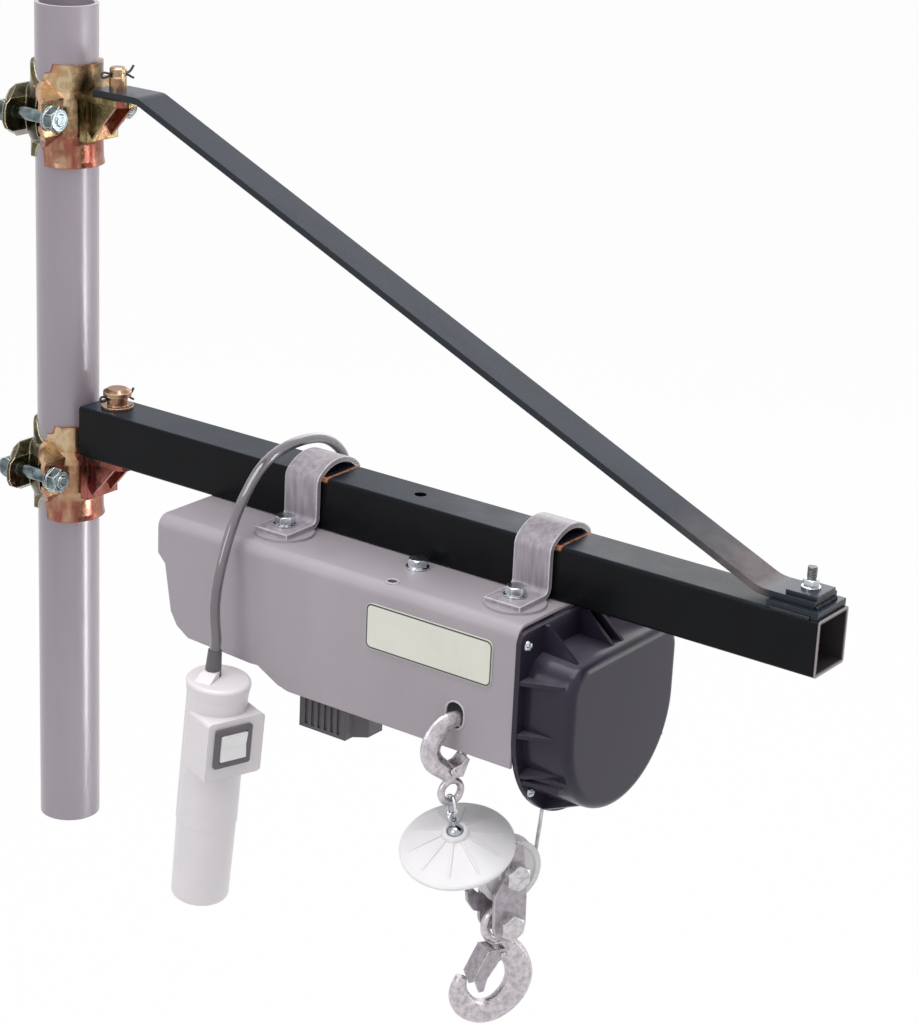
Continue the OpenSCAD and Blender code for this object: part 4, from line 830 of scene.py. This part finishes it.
# the rope leaves the sheave where its straight parts touch the groove
def ropeRoute():
    centre = blockPoint(0, block["upY"], block["height"])
    a = math.radians(block["turn"])
    side, up = Vector((-math.sin(a), math.cos(a), 0)), Vector((0, 0, 1))
    hub, drum, r = Vector(rope["hub"]), Vector(rope["drum"]), rope["groove"]
    start = hub + (rope["ball"] + rope["gap"]) * (centre - r * side - hub).normalized()

    def flat(p):
        return Vector(((p - centre).dot(side), (p - centre).z))

    def around(t):
        return centre + r * math.cos(t) * side + r * math.sin(t) * up

    qa, qb, steps = flat(start), flat(drum), rope["turnSteps"]
    t0 = math.atan2(qa.y, qa.x) + math.acos(r / qa.length)
    t1 = 2 * math.pi + math.atan2(qb.y, qb.x) - math.acos(r / qb.length)
    pts = [start] + [around(t0 + (t1 - t0) * k / steps) for k in range(steps + 1)] + [drum]
    return [p * mm for p in pts]


def makeRope():
    pts = ropeRoute()
    edges = [(k, k + 1) for k in range(len(pts) - 1)]
    mesh = grow(makeRopeTree(), pts, edges, {
        "Strands": rope["strands"], "Lay": rope["lay"] * mm, "Wind Radius": rope["thick"] * mm / 3,
        "Strand Radius": rope["thick"] * mm / 6, "Material": mats["ropeWire"]})
    obj = joinMeshes("wireRope", [mesh], mats["ropeWire"], "jib", ["hoist_rope"])
    obj.data.shade_smooth()
    print("rope wound")


# thread above the tip's top nut, in millimetres
stud = {"foot": (661.5, 0, 380.2), "length": 7.6, "radius": 3, "pitch": 1.0, "ridge": 0.42}


def makeThreads():
    tree = makeThreadTree()
    top = grow(tree, [(0, 0, 0)], [], {
        "Radius": stud["radius"] * mm, "Length": stud["length"] * mm, "Pitch": stud["pitch"] * mm,
        "Ridge": stud["ridge"] * mm, "Material": mats["darkStud"]})
    top.transform(Matrix.Translation(Vector(stud["foot"]) * mm))
    shadeSmooth(joinMeshes("tipThread", [top], mats["darkStud"], "jib"))


# welds in millimetres: upright beside each bracket's legs, and round the tip pad's end and sides
bracketSeam = {"x": 29.6, "y": 9.2, "z": (-15, 12), "middles": (301, 584), "bead": 2.2, "spacing": 1.4}
tipSeam = {"endX": 673.4, "endY": 13, "endZ": 365.6, "sideX": (644, 672), "sideY": 19.3, "sideZ": 360.3,
           "bead": 1.6, "spacing": 1.2}


def weldLines(tree, lines, seam, mat):
    verts = [Vector(p) * mm for line in lines for p in line]
    edges = [(2 * k, 2 * k + 1) for k in range(len(lines))]
    sizes = {"Bead": seam["bead"] * mm, "Spacing": seam["spacing"] * mm, "Material": mat}
    return grow(tree, verts, edges, sizes)


def makeWelds():
    tree = makeWeldTree()
    b, t = bracketSeam, tipSeam
    lines = [[(b["x"], s * b["y"], mid + z) for z in b["z"]] for mid in b["middles"] for s in (-1, 1)]
    legs = weldLines(tree, lines, b, mats["redZinc"])
    shadeSmooth(joinMeshes("bracketWelds", [legs], mats["redZinc"], "mast"), 60)
    lines = [[(t["endX"], s * t["endY"], t["endZ"]) for s in (-1, 1)]]
    lines += [[(x, s * t["sideY"], t["sideZ"]) for x in t["sideX"]] for s in (-1, 1)]
    pad = weldLines(tree, lines, t, mats["strutBlack"])
    shadeSmooth(joinMeshes("tipWelds", [pad], mats["strutBlack"], "jib"), 60)


# round heads on the end cover, in millimetres; places are beside and above the cover's middle
screw = {"x": 491, "middle": 241, "places": ((-71, 65), (71, 65), (-57.5, -48.3), (57.5, -48.3)),
         "radius": 3.9, "height": 2.5, "recess": 1}


def makeScrews():
    verts = [Vector((screw["x"], y, screw["middle"] + z)) * mm for y, z in screw["places"]]
    mesh = grow(makeScrewTree(), verts, [], {
        "Radius": screw["radius"] * mm, "Height": screw["height"] * mm, "Recess": screw["recess"] * mm,
        "Material": mats["boltZinc"]})
    heads = joinMeshes("coverScrewHeads", [mesh], mats["boltZinc"], "jib", ["cover_screws"])
    shadeSmooth(heads, 35)


# round bar along a path
def tubeMesh(path, radius, cyclic=False):
    data = bpy.data.curves.new("tube", "CURVE")
    data.dimensions = "3D"
    data.bevel_depth = radius
    data.bevel_resolution = 1
    data.use_fill_caps = True
    setPath(data, path).use_cyclic_u = cyclic
    obj = bpy.data.objects.new("tube", data)
    scene.collection.objects.link(obj)
    mesh = bpy.data.meshes.new_from_object(obj.evaluated_get(bpy.context.evaluated_depsgraph_get()))
    bpy.data.objects.remove(obj)
    return mesh


# split pins in millimetres: closed loop on one side, two legs bent apart on the other; each pin has its
# height, its reach and the radius of what it passes through
splitPin = {"x": 52, "turn": 70, "wire": 0.95, "loop": 1.9, "bend": 1.4, "legs": (2.6, 5), "between": 4,
            "pins": ((368, 13, 8), (619, 12, 6.5))}


def pinHalf(reach, r, side, leg):
    w, lp = splitPin["wire"], splitPin["loop"]
    keys = [(2 - reach - 2 * lp, 0, 0), (2 - reach - 1.4 * lp, 0, side * lp),
            (2.4 - reach, 0, side * lp * 0.8), (-r - 1, 0, side * w), (0, 0, side * w),
            (r + 1.5, 0, side * w), (r + 4, 0, side * (w + splitPin["bend"])),
            (reach + 1, 0, side * (w + leg))]
    return tubeMesh([p * mm for p in splinePoints(keys, splitPin["between"])], w * mm)


def makeSplitPins():
    turned = Matrix.Rotation(math.radians(splitPin["turn"]), 4, "Z")
    meshes = []
    for z, reach, r in splitPin["pins"]:
        for side, leg in zip((-1, 1), splitPin["legs"]):
            mesh = pinHalf(reach, r, side, leg)
            mesh.transform(Matrix.Translation(Vector((splitPin["x"], 0, z)) * mm) @ turned)
            meshes.append(mesh)
    obj = joinMeshes("splitPinWires", meshes, mats["darkSteel"], "mast", ["split_pins"])
    obj.data.shade_smooth()


# raised lips round the slot and the small hole of the housing, in millimetres
lip = {"slot": (439, 242), "slotSize": (15, 20), "slotY": -78.1, "slotOut": 0.3, "slotWire": 0.8,
       "hole": (373, -67, 320.1), "holeRadius": 4.3, "holeWire": 0.7, "step": 15}


# points on part of a circle, each put in place by the given rule
def arcPoints(first, count, radius, put):
    turns = [math.radians(first + k * lip["step"]) for k in range(count)]
    return [Vector(put(radius * math.cos(a), radius * math.sin(a))) * mm for a in turns]


def makeLips():
    (cx, cz), (w, h) = lip["slot"], lip["slotSize"]
    r, rise = w / 2, (h - w) / 2
    path = []
    half, whole = 180 // lip["step"] + 1, 360 // lip["step"]
    for first, z in ((0, cz + rise), (180, cz - rise)):
        path += arcPoints(first, half, r + lip["slotOut"], lambda u, v: (cx + u, lip["slotY"], z + v))
    hx, hy, hz = lip["hole"]
    ring = arcPoints(0, whole, lip["holeRadius"], lambda u, v: (hx + u, hy + v, hz))
    tubes = [tubeMesh(path, lip["slotWire"] * mm, True), tubeMesh(ring, lip["holeWire"] * mm, True)]
    obj = joinMeshes("housingLips", tubes, mats["lipGrey"], "jib")
    obj.data.shade_smooth()


makeCable()
makeRope()
makeThreads()
makeWelds()
makeScrews()
makeSplitPins()
makeLips()
print("threads, welds, screws, split pins and lips made")


# 1 where a surface is looked at, also in reflections, and 0 where it only lights other things
def lookedAt(tree):
    path = tree.nodes.new("ShaderNodeLightPath")
    bent = calc(tree, "MAXIMUM", path.outputs["Is Glossy Ray"], path.outputs["Is Transmission Ray"])
    return calc(tree, "MAXIMUM", path.outputs["Is Camera Ray"], bent)


# pale floor in metres: a matt surface that glows white where it is looked at
ground = {"half": 8, "height": -0.45, "color": (0.85, 0.85, 0.85, 1), "glow": 0.965}


def makeFloor():
    mesh = bpy.data.meshes.new("floor")
    s, z = ground["half"], ground["height"]
    mesh.from_pydata([(-s, -s, z), (s, -s, z), (s, s, z), (-s, s, z)], [], [(0, 1, 2, 3)])
    mat = bpy.data.materials.new("floorPale")
    mat.use_nodes = True
    tree = mat.node_tree
    tree.nodes.clear()
    out = tree.nodes.new("ShaderNodeOutputMaterial")
    diffuse = tree.nodes.new("ShaderNodeBsdfDiffuse")
    diffuse.inputs[0].default_value = ground["color"]
    glow = tree.nodes.new("ShaderNodeEmission")
    glow.inputs[0].default_value = (1, 1, 1, 1)
    glow.inputs[1].default_value = 1
    mix = tree.nodes.new("ShaderNodeMixShader")
    tree.links.new(calc(tree, "MULTIPLY", lookedAt(tree), ground["glow"]), mix.inputs[0])
    tree.links.new(diffuse.outputs[0], mix.inputs[1])
    tree.links.new(glow.outputs[0], mix.inputs[2])
    tree.links.new(mix.outputs[0], out.inputs[0])
    floor = linkMesh("floor", mesh, mat)


# white all round, dimmer as a light than as a backdrop
studio = {"light": 0.55, "backdrop": 1.0}


def makeWorld():
    world = bpy.data.worlds.new("studio")
    world.use_nodes = True
    tree = world.node_tree
    tree.nodes.clear()
    out = tree.nodes.new("ShaderNodeOutputWorld")
    back = tree.nodes.new("ShaderNodeBackground")
    more = calc(tree, "MULTIPLY", lookedAt(tree), studio["backdrop"] - studio["light"])
    back.inputs[0].default_value = (1, 1, 1, 1)
    tree.links.new(calc(tree, "ADD", more, studio["light"]), back.inputs[1])
    tree.links.new(back.outputs[0], out.inputs[0])
    scene.world = world


# area lamps: place, target and size in metres, power in watts, spread in degrees
lamps = {
    "over": dict(place=(0.4, -0.2, 2.3), target=(0.35, 0, 0.3), size=(1.6, 1.6), power=34, spread=180),
    "key": dict(place=(0.0, -2.3, 1.5), target=(0.3, 0, 0.25), size=(1.1, 1.1), power=15, spread=180),
    "side": dict(place=(2.0, 1.9, 0.7), target=(0.2, 0, 0.3), size=(0.28, 2.2), power=10, spread=180),
    "rear": dict(place=(-0.4, 2.3, 1.2), target=(0.3, 0, 0.3), size=(1.4, 1.4), power=9, spread=180),
    "strip": dict(place=(0.94, 0.34, 0.04), target=(0, 0, 0.38), size=(0.2, 0.74), power=0.18, spread=19),
}


def makeLamps():
    for name, info in lamps.items():
        data = bpy.data.lights.new(name, "AREA")
        data.shape = "RECTANGLE"
        data.size, data.size_y = info["size"]
        data.energy = info["power"]
        data.spread = math.radians(info["spread"])
        lamp = bpy.data.objects.new(name, data)
        lamp.location = info["place"]
        aim = Vector(info["target"]) - Vector(info["place"])
        lamp.rotation_euler = aim.to_track_quat("-Z", "Y").to_euler()
        lamp.visible_camera = False
        scene.collection.objects.link(lamp)


makeFloor()
makeWorld()
makeLamps()
scene.view_settings.view_transform = "Standard"
print("floor, world and lamps placed")
